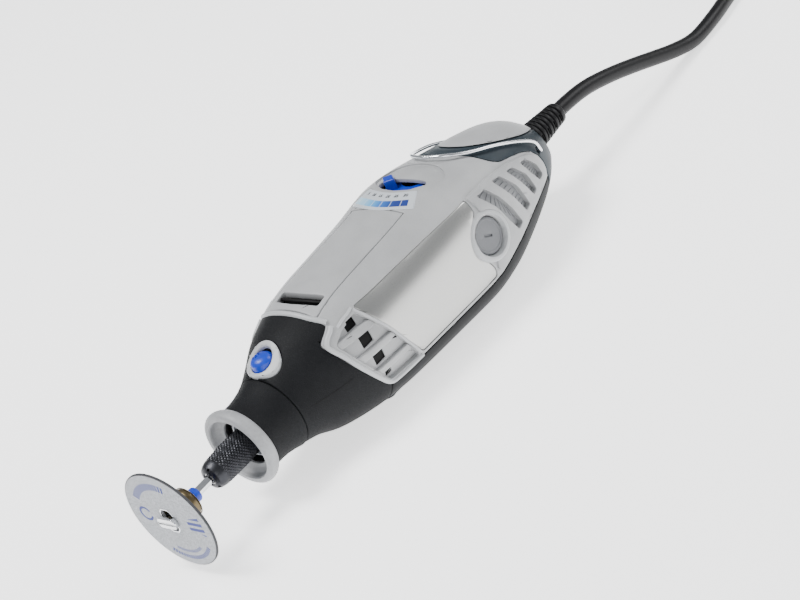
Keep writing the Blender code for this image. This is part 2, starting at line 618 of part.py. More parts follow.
def bail_path():
    """Right half of the hanger's wire at rest, from its pivot to the crown of the back."""
    x, station, height = BAIL_PIVOT
    return [at(x, station, height), at(x, station - 1.6, height + 4.6), at(x - 0.6, 188.0, 16.0),
            at(x - 1.8, 178.0, 21.2), at(x - 4.4, 168.0, 25.2), at(x - 9.6, 160.6, 28.6), at(0, 158.6, 29.3)]


def bail_bore():
    return rod("bail_bore", 1.3, -20.0, 20.0, None, "X", (0, BAIL_PIVOT[1], BAIL_PIVOT[2]), 12)


def hanger():
    half = smooth_route(bail_path(), 5 * MM)
    whole = half + [Vector((-p.x, p.y, p.z)) for p in reversed(half[:-1])]
    inner_end = Vector((BAIL_PIVOT[0] - 4.6, 0, 0)) * MM
    first = Vector((inner_end.x, whole[0].y, whole[0].z))
    wire("hanger_bail", [first] + whole + [Vector((-first.x, first.y, first.z))], 0.9, CHROME, 2)


SCREW_PLACES = ((12.5, 89.4), (-12.5, 89.4), (9.0, 174.0), (-9.0, 174.0))


def screw_seat(x, station):
    """Height of the shoulder under a screw's head, a little below the lower housing's inner face."""
    width, _, depth, squareness = section_at(station)
    share = abs(x) / (width - WALL)
    return -(depth - WALL) * (1 - share ** squareness) ** (1 / squareness) - 1.0


def screws():
    for number, (x, station) in enumerate(SCREW_PLACES, 1):
        top = screw_seat(x, station) - GAP
        turned("housing_screw_%d" % number, [(0, top - 1.2), (3.0, top - 1.2), (3.0, top), (1.4, top),
                                             (1.4, top + 4.6), (0, top + 4.6)],
               BLACK_STEEL, (x, station, 0), "Z", 12)


# ---------------------------------------------------------------- cord

def coil_point(angle, radius, height):
    return at(COIL_CENTRE[0] + radius * math.cos(angle), COIL_CENTRE[1] + radius * math.sin(angle),
              height - AXIS_HEIGHT)


def cord():
    turned("strain_relief", [(3.3, 200.2), (8.4, 200.2), (8.4, 203.2), (5.8, 203.2), (5.8, 207.4),
                             (5.9, 211.0),
                             (5.4, 217.0), (4.7, 224.0), (4.2, 227.0), (3.3, 227.0)],
           CORD_BLACK, (0, 0, CORD_EXIT_HEIGHT))
    floor = CORD_RADIUS + 0.4 - AXIS_HEIGHT
    knots = [at(0, 190, CORD_EXIT_HEIGHT), at(0, 210, CORD_EXIT_HEIGHT), at(0, 231, CORD_EXIT_HEIGHT),
             at(0.1, 245, 0.8), at(0.3, 259, -2.8), at(0.6, 272.5, -7.3), at(1.0, 285.6, -12.1),
             at(1.4, 298, -16.5), at(1.6, 311, floor), at(0.6, 328, floor), at(-2.0, 344, floor),
             at(-3.0, 358, floor), at(0.4, 372, floor), at(6.2, 383.4, floor)]
    wire("supply_cord", smooth_route(knots, 8 * MM), CORD_RADIUS, CORD_BLACK, 2)
    clamp = CORD_EXIT_HEIGHT + CORD_RADIUS + 0.5
    box("cord_clamp", (-8.5, 190.5, clamp), (8.5, 194.5, clamp + 3.0), SOFT_BLACK)

    section = circle(COIL_THICKNESS / 2, (COIL_RADIUS, COIL_HEIGHT), 10)
    turned("cord_coil", section, CORD_BLACK, (*COIL_CENTRE, -AXIS_HEIGHT), "Z", 32)
    tie = flat_solid("cord_tie", [circle(9.9, sides=20), circle(9.3, sides=20)], -3, 3, SOFT_BLACK, "end")
    tie.location = coil_point(TIE_ANGLE, COIL_RADIUS, COIL_HEIGHT)
    tie.rotation_euler[2] = TIE_ANGLE
    plug()


def plug():
    """Flat two-pin plug across the coil, and the cord's last stretch on top of the turns."""
    on_top = COIL_HEIGHT + COIL_THICKNESS / 2 + GAP
    turn = math.radians(330)
    ahead = Vector((math.cos(turn), math.sin(turn), 0))
    tail = coil_point(math.radians(205), COIL_RADIUS - 3, on_top + PLUG_THICKNESS / 2) + ahead * 14 * MM
    knots = [coil_point(math.radians(angle), COIL_RADIUS, on_top + CORD_RADIUS) for angle in (135, 150, 165,
                                                                                              180)]
    knots += [tail - ahead * back * MM for back in (12, 6, 0.5)]
    wire("cord_tail", smooth_route(knots, 8 * MM), CORD_RADIUS, CORD_BLACK, 2)
    half = PLUG_WIDTH / 2
    outline = [(0, -5), (8, -6.5), (20, -half), (35, -half), (35, half), (20, half), (8, 6.5), (0, 5)]
    body = flat_solid("plug_body", [[(u, v + MIDDLE_STATION) for u, v in outline]], 0, PLUG_THICKNESS,
                      CORD_BLACK, "top")
    body.rotation_euler[2] = turn
    body.location = tail
    for number, side in enumerate((1, -1), 1):
        pin = rod("plug_pin_%d" % number, 2.0, 35 + GAP, 54, CHROME, sides=12)
        pin.rotation_euler = (0, math.pi / 2, turn)
        pin.location = tail + Vector((-ahead.y, ahead.x, 0)) * side * 9.3 * MM


clear_scene()
housings()
brushes()
motor()
nose()
dial()
hanger()
screws()
cord()
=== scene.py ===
import math

import bpy
from mathutils import Matrix, Vector


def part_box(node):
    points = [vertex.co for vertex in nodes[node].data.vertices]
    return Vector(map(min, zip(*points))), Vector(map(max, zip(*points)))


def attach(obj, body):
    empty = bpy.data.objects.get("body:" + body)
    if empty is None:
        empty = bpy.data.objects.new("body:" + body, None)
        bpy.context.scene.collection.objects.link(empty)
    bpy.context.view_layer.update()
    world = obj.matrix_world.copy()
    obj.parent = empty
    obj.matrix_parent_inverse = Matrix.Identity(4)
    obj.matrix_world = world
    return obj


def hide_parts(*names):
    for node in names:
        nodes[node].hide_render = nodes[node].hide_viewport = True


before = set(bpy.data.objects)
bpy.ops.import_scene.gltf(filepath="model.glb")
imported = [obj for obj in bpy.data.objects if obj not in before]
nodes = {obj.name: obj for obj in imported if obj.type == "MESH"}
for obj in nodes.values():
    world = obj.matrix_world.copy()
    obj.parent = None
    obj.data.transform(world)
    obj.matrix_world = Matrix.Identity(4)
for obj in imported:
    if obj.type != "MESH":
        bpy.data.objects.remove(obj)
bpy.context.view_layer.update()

# Lengths are in millimetres. A station is a distance behind the cutting disc along the tool's axis,
# a height is measured from that axis, and x points to the tool's right side.
mm = 0.001
tool = {"axisHeight": 23.0, "middle": 101.8, "wall": 2.5}


def at(x, station, height):  # place in the frame, in metres
    return Vector((x, station - tool["middle"], height + tool["axisHeight"])) * mm


# shader sums

class Sum:
    def __init__(self, look, socket):
        self.look, self.socket = look, socket

    def math(self, operation, first, second=0.0, third=0.0):
        return self.look.add("ShaderNodeMath", {"operation": operation}, {0: first, 1: second, 2: third})

    def __add__(self, other): return self.math("ADD", self, other)
    def __radd__(self, other): return self.math("ADD", other, self)
    def __sub__(self, other): return self.math("SUBTRACT", self, other)
    def __rsub__(self, other): return self.math("SUBTRACT", other, self)
    def __mul__(self, other): return self.math("MULTIPLY", self, other)
    def __gt__(self, other): return self.math("GREATER_THAN", self, other)
    def __lt__(self, other): return self.math("LESS_THAN", self, other)
    def __abs__(self): return self.math("ABSOLUTE", self)
    def sine(self): return self.math("SINE", self)
    def root(self): return self.math("SQRT", self)
    def fract(self): return self.math("FRACT", self)
    def least(self, other): return self.math("MINIMUM", self, other)
    def angleFrom(self, across): return self.math("ARCTAN2", self, across)
    def ease(self, low, high):
        return self.look.add("ShaderNodeMapRange", {"interpolation_type": "SMOOTHSTEP"},
                {0: self, 1: low, 2: high, 3: 0.0, 4: 1.0})
    def within(self, low, high): return (self > low) * (self < high)


class Look:  # one material and its nodes
    def __init__(self, name, **fixed):
        self.material = bpy.data.materials.new(name)
        self.material.use_nodes = True
        self.tree = self.material.node_tree
        self.shader = self.tree.nodes["Principled BSDF"]
        for socket, value in fixed.items():
            self.shader.inputs[socket.replace("_", " ")].default_value = value

    def add(self, kind, settings=None, sockets=None, out=0):
        made = self.tree.nodes.new(kind)
        for key, value in (settings or {}).items():
            if key == "stops":
                points = made.color_ramp.elements
                for stop, (place, colour) in enumerate(value):
                    point = points[stop] if stop < 2 else points.new(place)
                    point.position, point.color = place, (*colour, 1)
            else:
                setattr(made, key, value)
        for key, value in (sockets or {}).items():
            if isinstance(value, Sum):
                self.tree.links.new(value.socket, made.inputs[key])
            else:
                made.inputs[key].default_value = value
        return Sum(self, made.outputs[out])

    def place(self, scale=(1, 1, 1), shift=(0, 0, 0)):
        spot = self.add("ShaderNodeTexCoord", out=3)
        return self.add("ShaderNodeMapping", None, {0: spot, 1: shift, 3: scale})

    def axes(self, shift=(0, 0, 0)):  # x, y and z in millimetres from a point
        spot = self.place((1000, 1000, 1000), tuple(-1000 * part for part in shift))
        split = self.add("ShaderNodeSeparateXYZ", None, {0: spot})
        return [Sum(self, split.socket.node.outputs[k]) for k in range(3)]

    def noise(self, size, detail=3.0, rough=0.55, stretch=(1, 1, 1)):  # size of a patch in mm
        spot = self.place(tuple(part * 1000 / size for part in stretch))
        return self.add("ShaderNodeTexNoise", None, {"Vector": spot, "Scale": 1.0, "Detail": detail,
                "Roughness": rough})

    def cells(self, size, feature="F1"):
        spot = self.place((1000 / size,) * 3)
        return self.add("ShaderNodeTexVoronoi", {"feature": feature}, {"Vector": spot, "Scale": 1.0})

    def mix(self, share, first, second):
        first, second = [(*c, 1) if isinstance(c, tuple) and len(c) == 3 else c for c in (first, second)]
        return self.add("ShaderNodeMix", {"data_type": "RGBA"}, {0: share, 6: first, 7: second}, 2)

    def feed(self, **sockets):
        for socket, value in sockets.items():
            self.tree.links.new(value.socket, self.shader.inputs[socket.replace("_", " ")])
        return self

    def bump(self, height, depth, strength=1.0):
        made = self.add("ShaderNodeBump", None, {"Strength": strength, "Distance": depth * mm,
                "Height": height})
        return self.feed(Normal=made)


looks = {}


def keep(look):
    looks[look.material.name] = look.material
    return look.material


def mouldedPlastic(name, colour, rough, grain=0.35, depth=0.02, vary=0.05, sheen=0.5):
    look = Look(name, Specular_IOR_Level=sheen)
    patches = look.noise(14, 2.0)
    specks = look.noise(grain, 2.0, 0.6)
    tone = patches * 0.6 + specks * 0.4
    dark = tuple(part * (1 - vary) for part in colour)
    pale = tuple(min(1, part * (1 + vary)) for part in colour)
    look.feed(Base_Color=look.mix(tone.ease(0.35, 0.65), dark, pale), Roughness=rough - 0.05 + specks * 0.1)
    look.bump(specks, depth)
    return keep(look)


def softGrip(name, colour):
    look = Look(name, Specular_IOR_Level=0.16)
    hide = look.cells(0.62, "DISTANCE_TO_EDGE").ease(0.0, 0.28)
    fine = look.noise(0.25, 3.0)
    rubbed = look.noise(9, 3.0).ease(0.45, 0.75)
    pale = tuple(part * 1.8 + 0.002 for part in colour)
    look.feed(Base_Color=look.mix(hide * 0.35 + rubbed * 0.25, colour, pale),
            Roughness=0.6 - hide * 0.1 + fine * 0.08)
    look.bump(hide * 0.75 + fine * 0.25, 0.05)
    return keep(look)


def metal(name, colour, rough, coat=0.0, grain=1.2, stretch=(1, 0.08, 1), depth=0.004):
    look = Look(name, Metallic=1.0, Coat_Weight=coat)
    scratches = look.noise(grain, 4.0, 0.7, stretch)
    stain = look.noise(6, 3.0)
    dull = tuple(part * 0.82 for part in colour)
    look.feed(Base_Color=look.mix(stain.ease(0.3, 0.75), dull, colour),
            Roughness=rough * 0.7 + scratches * rough * 0.6)
    look.bump(scratches, depth)
    return keep(look)


def satinPaint(name, colour):  # metallic lacquer with tiny flakes
    look = Look(name, Metallic=0.92, Coat_Weight=0.3, Coat_Roughness=0.15)
    flakes = look.noise(0.22, 2.0, 0.7)
    clouds = look.noise(22, 2.0)
    dull = tuple(part * 0.93 for part in colour)
    look.feed(Base_Color=look.mix(flakes * 0.5 + clouds * 0.5, dull, colour), Roughness=0.24 + flakes * 0.1)
    look.bump(flakes, 0.004)
    return keep(look)


def windings(name, colour, pitch):  # varnished wire laid side by side
    look = Look(name, Metallic=0.8)
    x, y, z = look.axes()
    lay = ((x * 1.0 + y * 0.6 + z * 0.35) * (math.tau / pitch)).sine() * 0.5 + 0.5
    dark = tuple(part * 0.45 for part in colour)
    look.feed(Base_Color=look.mix(lay, dark, colour), Roughness=0.45 - lay * 0.15)
    look.bump(lay, 0.12)
    return keep(look)


def commutatorBars(name):
    look = Look(name, Metallic=1.0)
    x, _, z = look.axes(at(0, 147, 0))
    bar = (z.angleFrom(x) * (24 / math.tau)).fract().within(0.06, 1.0)
    look.feed(Base_Color=look.mix(bar, (0.03, 0.025, 0.02), (0.72, 0.4, 0.24)), Roughness=0.55 - bar * 0.25)
    look.bump(bar, 0.15)
    return keep(look)


def boardLook(name):
    look = Look(name)
    tracks = look.cells(2.6).ease(0.42, 0.5)
    look.feed(Base_Color=look.mix(tracks, (0.02, 0.2, 0.07), (0.05, 0.32, 0.12)),
            Roughness=0.35 + tracks * 0.2)
    look.bump(tracks, 0.05)
    return keep(look)


discSet = {
    "radius": 19.0, "pale": (0.50, 0.515, 0.54), "dark": (0.27, 0.28, 0.30),
    "ink": (0.004, 0.018, 0.20), "edge": 0.35,
}


def abrasiveDisc(name):  # speckled face with plain printed marks
    look = Look(name)
    x, y, z = look.axes(at(0, 0, 0))
    radius = (x * x + z * z).root()
    turn = z.angleFrom(x) * (180 / math.pi)
    grit = look.noise(0.5, 4.0, 0.75)
    base = look.mix(grit.ease(0.34, 0.66), discSet["dark"], discSet["pale"])
    strokes = (turn * 0.19).fract().within(0.0, 0.66)
    topBand = radius.within(12.6, 15.4) * turn.within(68, 146) * strokes
    lowBand = radius.within(14.9, 16.4) * turn.within(-122, -38) * (turn * 0.24).fract().within(0.1, 0.78)
    lowLine = radius.within(12.4, 13.6) * turn.within(-112, -52) * (turn * 0.3).fract().within(0.0, 0.6)
    arrow = ((x + 11.2) * (x + 11.2) + (z - 1.2) * (z - 1.2)).root()
    arrowTurn = (z - 1.2).angleFrom(x + 11.2) * (180 / math.pi)
    ringMark = arrow.within(2.1, 3.0) * (1 - arrowTurn.within(-20, 25))
    bars = radius.within(8.6, 15.6) * turn.within(-17, 12) * ((z + 0.4) * 0.42).fract().within(0.0, 0.55)
    ink = (topBand + lowBand + lowLine + ringMark + bars).least(1.0) * grit.ease(0.1, 0.4)
    face = abs(y).within(0.44, 0.6)
    rim = radius > discSet["radius"] - discSet["edge"]
    printed = look.mix(ink * face, base, discSet["ink"])
    look.feed(Base_Color=look.mix(rim, printed, (0.045, 0.045, 0.05)), Roughness=0.8 - ink * 0.25)
    look.bump(grit + rim * 0.3, 0.06)
    return keep(look)


scaleSet = {"centre": (0, 165.0), "bar": (31.0, 34.0), "turns": (-27.5, 20.5)}


def scaleCard(name):  # pale strip with a bar from light to dark blue
    look = Look(name, Coat_Weight=0.4)
    x, y, _ = look.axes(at(*scaleSet["centre"], 0))
    radius = (x * x + y * y).root()
    turn = x.angleFrom(0 - y) * (180 / math.pi)
    share = turn.ease(*scaleSet["turns"])
    blue = look.add("ShaderNodeValToRGB", {"stops": [(0.0, (0.45, 0.66, 0.80)), (0.9, (0.005, 0.03, 0.22)),
            (0.35, (0.10, 0.40, 0.72)), (0.6, (0.02, 0.16, 0.55))]}, {0: share})
    bar = radius.within(*scaleSet["bar"]) * turn.within(*scaleSet["turns"])
    ticks = bar * (turn * 0.13).fract().within(0.0, 0.07)
    paper = look.noise(0.4, 3.0)
    ground = look.mix(paper, (0.50, 0.54, 0.58), (0.60, 0.63, 0.66))
    look.feed(Base_Color=look.mix(ticks * 0.6, look.mix(bar, ground, blue), (0.8, 0.85, 0.9)),
            Roughness=0.38 + paper * 0.08)
    look.bump(paper, 0.01)
    return keep(look)


def cordSheath(name):
    look = Look(name, Specular_IOR_Level=0.22)
    fine = look.noise(0.5, 3.0)
    soft = look.noise(12, 2.0)
    look.feed(Base_Color=look.mix(soft, (0.003, 0.003, 0.0035), (0.006, 0.006, 0.007)),
            Roughness=0.34 + fine * 0.14)
    look.bump(fine, 0.02)
    return keep(look)


lightGrey = mouldedPlastic("lightGrey", (0.385, 0.39, 0.395), 0.43, 0.4, 0.028, 0.07)
paleRim = mouldedPlastic("paleRim", (0.47, 0.48, 0.49), 0.4, 0.4, 0.02, 0.05)
recessGrey = mouldedPlastic("recessGrey", (0.20, 0.205, 0.215), 0.55, 0.5, 0.05, 0.1)
panelGrey = mouldedPlastic("panelGrey", (0.25, 0.255, 0.265), 0.5, 0.4, 0.03, 0.07)
capGrey = mouldedPlastic("capGrey", (0.16, 0.165, 0.175), 0.5, 0.4, 0.03, 0.07)
ringGrey = mouldedPlastic("ringGrey", (0.33, 0.335, 0.345), 0.5, 0.9, 0.05, 0.12)
slate = mouldedPlastic("slate", (0.016, 0.026, 0.034), 0.44, 0.4, 0.02, 0.12, 0.22)
# near-black for black parts, seams and print, and for the sheets of painted shade behind the openings
blackAndPaintedShade = mouldedPlastic("blackAndPaintedShade", (0.002, 0.002, 0.0022), 0.6, sheen=0.2)
bellyBlack = mouldedPlastic("bellyBlack", (0.004, 0.0045, 0.0055), 0.48, 0.4, 0.03, 0.2, 0.14)
gripBlack = softGrip("gripBlack", (0.0045, 0.005, 0.006))
buttonBlue = mouldedPlastic("buttonBlue", (0.003, 0.035, 0.45), 0.36, 0.5, 0.03, 0.12)
silver = satinPaint("silver", (0.50, 0.50, 0.485))
steel = metal("steel", (0.62, 0.62, 0.63), 0.34)
chrome = metal("chrome", (0.86, 0.87, 0.88), 0.13, depth=0.002)
brightEdge = metal("brightEdge", (0.9, 0.92, 0.95), 0.2)
blackOxide = metal("blackOxide", (0.045, 0.046, 0.052), 0.42, 0.1)
brass = metal("brass", (0.17, 0.13, 0.07), 0.36, 0.1)
copper = windings("copper", (0.62, 0.28, 0.13), 0.55)
bars = commutatorBars("commutatorBars")
carbon = mouldedPlastic("carbon", (0.03, 0.03, 0.032), 0.6, 0.3, 0.05, 0.3)
board = boardLook("board")
abrasive = abrasiveDisc("abrasive")
card = scaleCard("scaleCard")
sheath = cordSheath("sheath")
tieBlack = mouldedPlastic("tieBlack", (0.006, 0.006, 0.007), 0.7, 0.5, 0.08, 0.2)
print("looks made:", len(looks))

# camera, floor and light

cameraSet = {"place": (0.53888, -0.39192, 0.37295), "turn": (59.605, 23.505, 39.468), "lens": 98.64}
lightSet = {
    "key": ((-0.35, -0.35, 1.3), 0.6, 24.0), "fill": ((1.0, -0.9, 0.5), 0.7, 4.0),
    "back": ((0.5, 1.1, 0.8), 0.7, 9.0),
}
worldSet = {"colour": (0.93, 0.96, 1.0, 1), "strength": 0.4}

cameraData = bpy.data.cameras.new("camera")
camera = bpy.data.objects.new("camera", cameraData)
bpy.context.scene.collection.objects.link(camera)
camera.location = cameraSet["place"]
camera.rotation_euler = [math.radians(part) for part in cameraSet["turn"]]
cameraData.lens = cameraSet["lens"]
cameraData.sensor_width = 36
cameraData.clip_start, cameraData.clip_end = 0.01, 20
bpy.context.scene.camera = camera


def deselect():
    if bpy.context.object and bpy.context.object.mode != "OBJECT":
        bpy.ops.object.mode_set(mode="OBJECT")
    bpy.ops.object.select_all(action="DESELECT")


def lamps():
    for name, (place, size, power) in lightSet.items():
        data = bpy.data.lights.new(name, "AREA")
        data.size, data.energy = size, power
        lamp = bpy.data.objects.new(name, data)
        bpy.context.scene.collection.objects.link(lamp)
        lamp.location = place
        lamp.rotation_euler = (Vector((0, 0, 0.02)) - Vector(place)).to_track_quat("-Z", "Y").to_euler()
    world = bpy.data.worlds.new("studio")
    world.use_nodes = True
    world.node_tree.nodes["Background"].inputs[0].default_value = worldSet["colour"]
    world.node_tree.nodes["Background"].inputs[1].default_value = worldSet["strength"]
    bpy.context.scene.world = world


def studioFloor():
    deselect()
    bpy.ops.mesh.primitive_plane_add(size=6)
    floor = bpy.context.object
    floor.name = "floor"
    look = Look("paper", Roughness=0.9, Emission_Color=(1, 1, 1, 1), Emission_Strength=1.5)
    tooth = look.noise(3, 3.0)
    look.feed(Base_Color=look.mix(tooth, (0.93, 0.93, 0.93), (0.95, 0.95, 0.95)))
    floor.data.materials.append(look.material)


lamps()
studioFloor()
print("camera, floor and light placed")

# making and cutting pieces


def active(piece):
    deselect()
    piece.hide_set(False)
    piece.select_set(True)
    bpy.context.view_layer.objects.active = piece


def tidyMesh(piece, weld=0.01):  # merge doubles and turn the faces outwards
    active(piece)
    bpy.ops.object.mode_set(mode="EDIT")
    bpy.ops.mesh.select_all(action="SELECT")
    bpy.ops.mesh.remove_doubles(threshold=weld * mm)
    bpy.ops.mesh.normals_make_consistent(inside=False)
    bpy.ops.object.mode_set(mode="OBJECT")
    return piece


def applyAll(piece):
    active(piece)
    for modifier in list(piece.modifiers):
        bpy.ops.object.modifier_apply(modifier=modifier.name)
    return piece


def ringStack(name, rings, sides):  # circle, then extruded and scaled ring by ring up +Z
    deselect()
    radius, height = rings[0]
    bpy.ops.mesh.primitive_circle_add(vertices=sides, radius=max(radius, 0.002) * mm)
    piece = bpy.context.object
    piece.name = name
    bpy.ops.object.mode_set(mode="EDIT")
    bpy.ops.mesh.select_all(action="SELECT")
    bpy.ops.transform.translate(value=(0, 0, height * mm))
    for (before, low), (after, high) in zip(rings, rings[1:]):
        bpy.ops.mesh.extrude_region_move(TRANSFORM_OT_translate={"value": (0, 0, (high - low) * mm)})
        share = max(after, 0.002) / max(before, 0.002)
        bpy.ops.transform.resize(value=(share, share, 1), center_override=(0, 0, high * mm))
    bpy.ops.object.mode_set(mode="OBJECT")
    return piece


axisTurn = {
    "Z": Matrix(),
    "Y": Matrix.Rotation(-math.pi / 2, 4, "X"),
    "X": Matrix.Rotation(math.pi / 2, 4, "Y"),
}


def turned(name, profile, axis="Y", place=(0, 0, 0), sides=96, bevel=0.0, angle=25, turn=None):
    # round piece; a profile that returns to its first point makes a ring
    piece = ringStack(name, profile, sides)
    tidyMesh(piece, 0.004)
    x, station, height = place
    home = at(x, station, height) if axis != "Y" else at(x, 0, height) + Vector((0, station, 0)) * mm
    piece.data.transform(Matrix.Translation(home) @ (turn or axisTurn[axis]))
    if bevel:
        addBevel(piece, bevel, angle)
        applyAll(piece)
    return piece


def addBevel(piece, width, angle=38, segments=3):
    modifier = piece.modifiers.new("soften", "BEVEL")
    modifier.width = width * mm
    modifier.segments = segments
    modifier.limit_method = "ANGLE"
    modifier.angle_limit = math.radians(angle)
    modifier.use_clamp_overlap = False
    modifier.harden_normals = False
    modifier.miter_outer = "MITER_ARC"


def prism(name, outline, low, high, plane="side"):
    # flat outline pushed from one level to another; side outlines hold (station, height),
    # end outlines (x, height) and top outlines (x, station)
    deselect()
    bpy.ops.mesh.primitive_circle_add(vertices=len(outline), radius=1, fill_type="NGON")
    piece = bpy.context.object
    piece.name = name
    for vertex, (u, v) in zip(piece.data.vertices, outline):
        vertex.co = {"side": at(low, u, v), "end": at(u, low, v), "top": at(u, v, low)}[plane]
    reach = (high - low) * mm
    move = {"side": (reach, 0, 0), "end": (0, reach, 0), "top": (0, 0, reach)}[plane]
    bpy.ops.object.mode_set(mode="EDIT")
    bpy.ops.mesh.select_all(action="SELECT")
    bpy.ops.mesh.extrude_region_move(TRANSFORM_OT_translate={"value": move})
    bpy.ops.mesh.select_all(action="SELECT")
    bpy.ops.mesh.normals_make_consistent(inside=False)
    bpy.ops.object.mode_set(mode="OBJECT")
    return piece


def cut(piece, cutter, how="DIFFERENCE", keep=False):
    modifier = piece.modifiers.new("cut", "BOOLEAN")
    modifier.operation = how
    modifier.solver = "EXACT"
    modifier.object = cutter
    applyAll(piece)
    if not keep:
        bpy.data.objects.remove(cutter)
    return piece


def softEdges(piece, width, angle=38, weld=0.03):
    active(piece)
    bpy.ops.object.mode_set(mode="EDIT")
    bpy.ops.mesh.select_all(action="SELECT")
    bpy.ops.mesh.remove_doubles(threshold=weld * mm)
    bpy.ops.object.mode_set(mode="OBJECT")
    addBevel(piece, width, angle)
    return applyAll(piece)


def copyOf(piece, name):
    made = piece.copy()
    made.data = piece.data.copy()
    made.name = name
    bpy.context.scene.collection.objects.link(made)
    return made


def joined(pieces, name):
    deselect()
    for piece in pieces:
        piece.select_set(True)
    bpy.context.view_layer.objects.active = pieces[0]
    bpy.ops.object.join()
    pieces[0].name = name
    return pieces[0]


def finished(piece, name, look, body="housing", replaced=(), bevel=0.0, angle=38, smooth=32, weld=0.03):
    if bevel:
        softEdges(piece, bevel, angle, weld)
    piece.name = name
    piece.data.name = name
    if look:
        piece.data.materials.clear()
        piece.data.materials.append(look)
    active(piece)
    bpy.ops.object.shade_smooth_by_angle(angle=math.radians(smooth))
    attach(piece, body)
    if replaced:
        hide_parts(*replaced)
    return piece


def eased(knots, spacing):  # points on a smooth curve through the knots
    ends = [knots[0] * 2 - knots[1]] + list(knots) + [knots[-1] * 2 - knots[-2]]
    route = []
    for a, b, c, d in zip(ends, ends[1:], ends[2:], ends[3:]):
        steps = max(1, round((c - b).length / (spacing * mm)))
        for step in range(steps):
            t = step / steps
            route.append(0.5 * (2 * b + (c - a) * t + (2 * a - 5 * b + 4 * c - d) * t ** 2
                    + (3 * b - a - 3 * c + d) * t ** 3))
    return route + [knots[-1]]


def tube(name, points, radius, resolution=5):
    curve = bpy.data.curves.new(name, "CURVE")
    curve.dimensions = "3D"
    curve.bevel_depth = radius * mm
    curve.bevel_resolution = resolution
    curve.use_fill_caps = True
    spline = curve.splines.new("POLY")
    spline.points.add(len(points) - 1)
    for point, place in zip(spline.points, points):
        point.co = (*place, 1)
    piece = bpy.data.objects.new(name, curve)
    bpy.context.scene.collection.objects.link(piece)
    return piece


def meshTube(name, points, radius, resolution=5):
    piece = tube(name, points, radius, resolution)
    active(piece)
    bpy.ops.object.convert(target="MESH")
    return tidyMesh(bpy.context.object, 0.002)


def softened(corners, reach, steps=5):  # outline with its corners rounded
    made = []
    for before, here, after in zip(corners[-1:] + corners[:-1], corners, corners[1:] + corners[:1]):
        here = Vector(here)
        ends = []
        for other in (before, after):
            along = Vector(other) - here
            ends.append(here + along.normalized() * min(reach, along.length * 0.45))
        for k in range(steps + 1):
            t = k / steps
            point = ends[0] * (1 - t) ** 2 + here * 2 * t * (1 - t) + ends[1] * t ** 2
            made.append(tuple(point))
    return made


def grown(outline, margin):  # outline with every edge moved outwards
    area = sum(a[0] * b[1] - b[0] * a[1] for a, b in zip(outline, outline[1:] + outline[:1]))
    moved = []
    for before, here, after in zip(outline[-1:] + outline[:-1], outline, outline[1:] + outline[:1]):
        normals = []
        for start, end in ((before, here), (here, after)):
            along = Vector((end[0] - start[0], end[1] - start[1])).normalized()
            normals.append(Vector((along.y, -along.x)) * math.copysign(1, area))
        shift = (normals[0] + normals[1]) * margin / (1 + normals[0].dot(normals[1]))
        moved.append((here[0] + shift.x, here[1] + shift.y))
    return moved


def oval(centre, across, along, count=64):
    return [(centre[0] + across * math.cos(math.tau * k / count),
            centre[1] + along * math.sin(math.tau * k / count)) for k in range(count)]


# the body's outer form: station, half width, height above the axis, depth below it, squareness

bodyForm = {
    "sections": ((52.0, 14.1, 14.3, 13.9, 2.0), (54.0, 14.5, 15.0, 14.2, 2.0),
        (60.0, 17.4, 18.2, 15.6, 2.0), (67.0, 20.5, 22.0, 18.8, 2.1), (75.0, 23.0, 24.2, 20.8, 2.2),
        (84.0, 25.0, 25.7, 21.9, 2.4), (94.0, 26.1, 26.2, 22.5, 2.6), (106.0, 26.7, 26.5, 22.9, 2.7),
        (126.0, 27.6, 27.4, 23.2, 2.8), (141.0, 28.2, 29.2, 23.6, 2.8), (148.0, 28.1, 28.9, 23.5, 2.8),
        (156.0, 27.3, 27.9, 23.0, 2.7), (164.0, 26.0, 26.4, 22.0, 2.6), (174.0, 23.5, 24.5, 19.9, 2.5),
        (183.0, 21.1, 22.9, 17.5, 2.4), (193.0, 17.9, 20.4, 14.7, 2.2), (200.0, 14.6, 16.8, 12.4, 2.0),
        (206.0, 10.4, 11.4, 9.6, 2.0)),
    "start": 52.0, "end": 206.0, "sides": 112, "step": 2.2,
}


def sectionAt(station):
    rows = bodyForm["sections"]
    last = len(rows) - 1
    i = max(0, min(last - 1, sum(1 for row in rows if row[0] <= station) - 1))
    before, here, there, after = rows[max(i - 1, 0)], rows[i], rows[i + 1], rows[min(i + 2, last)]
    step = there[0] - here[0]
    t = (station - here[0]) / step
    values = []
    for k in range(1, 5):
        slopeIn = (there[k] - before[k]) / (there[0] - before[0]) * step
        slopeOut = (after[k] - here[k]) / (after[0] - here[0]) * step
        values.append((2 * t ** 3 - 3 * t ** 2 + 1) * here[k] + (t ** 3 - 2 * t ** 2 + t) * slopeIn
                + (3 * t ** 2 - 2 * t ** 3) * there[k] + (t ** 3 - t ** 2) * slopeOut)
    return values


def skin(station, angle, offset=0.0):  # place on the form, angle in degrees from straight up to +X
    width, rise, depth, square = sectionAt(min(max(station, bodyForm["start"]), bodyForm["end"]))
    s, c = math.sin(math.radians(angle)), math.cos(math.radians(angle))
    upDown = rise if c > 0 else depth
    reach = ((abs(s) / (width + offset)) ** square + (abs(c) / (upDown + offset)) ** square) ** (-1 / square)
    return at(reach * s, station, max(reach * c, -tool["axisHeight"] - min(offset, 0)))


def sideSkin(station, height, offset=0.0, side=1):
    width, rise, depth, square = sectionAt(station)
    upDown = (rise if height > 0 else depth) + offset
    share = min(1.0, abs(height) / upDown)
    return at(side * (width + offset) * (1 - share ** square) ** (1 / square), station, height)


def topSkin(x, station, offset=0.0):
    width, rise, depth, square = sectionAt(station)
    share = min(1.0, abs(x) / (width + offset))
    return at(x, station, (rise + offset) * (1 - share ** square) ** (1 / square))


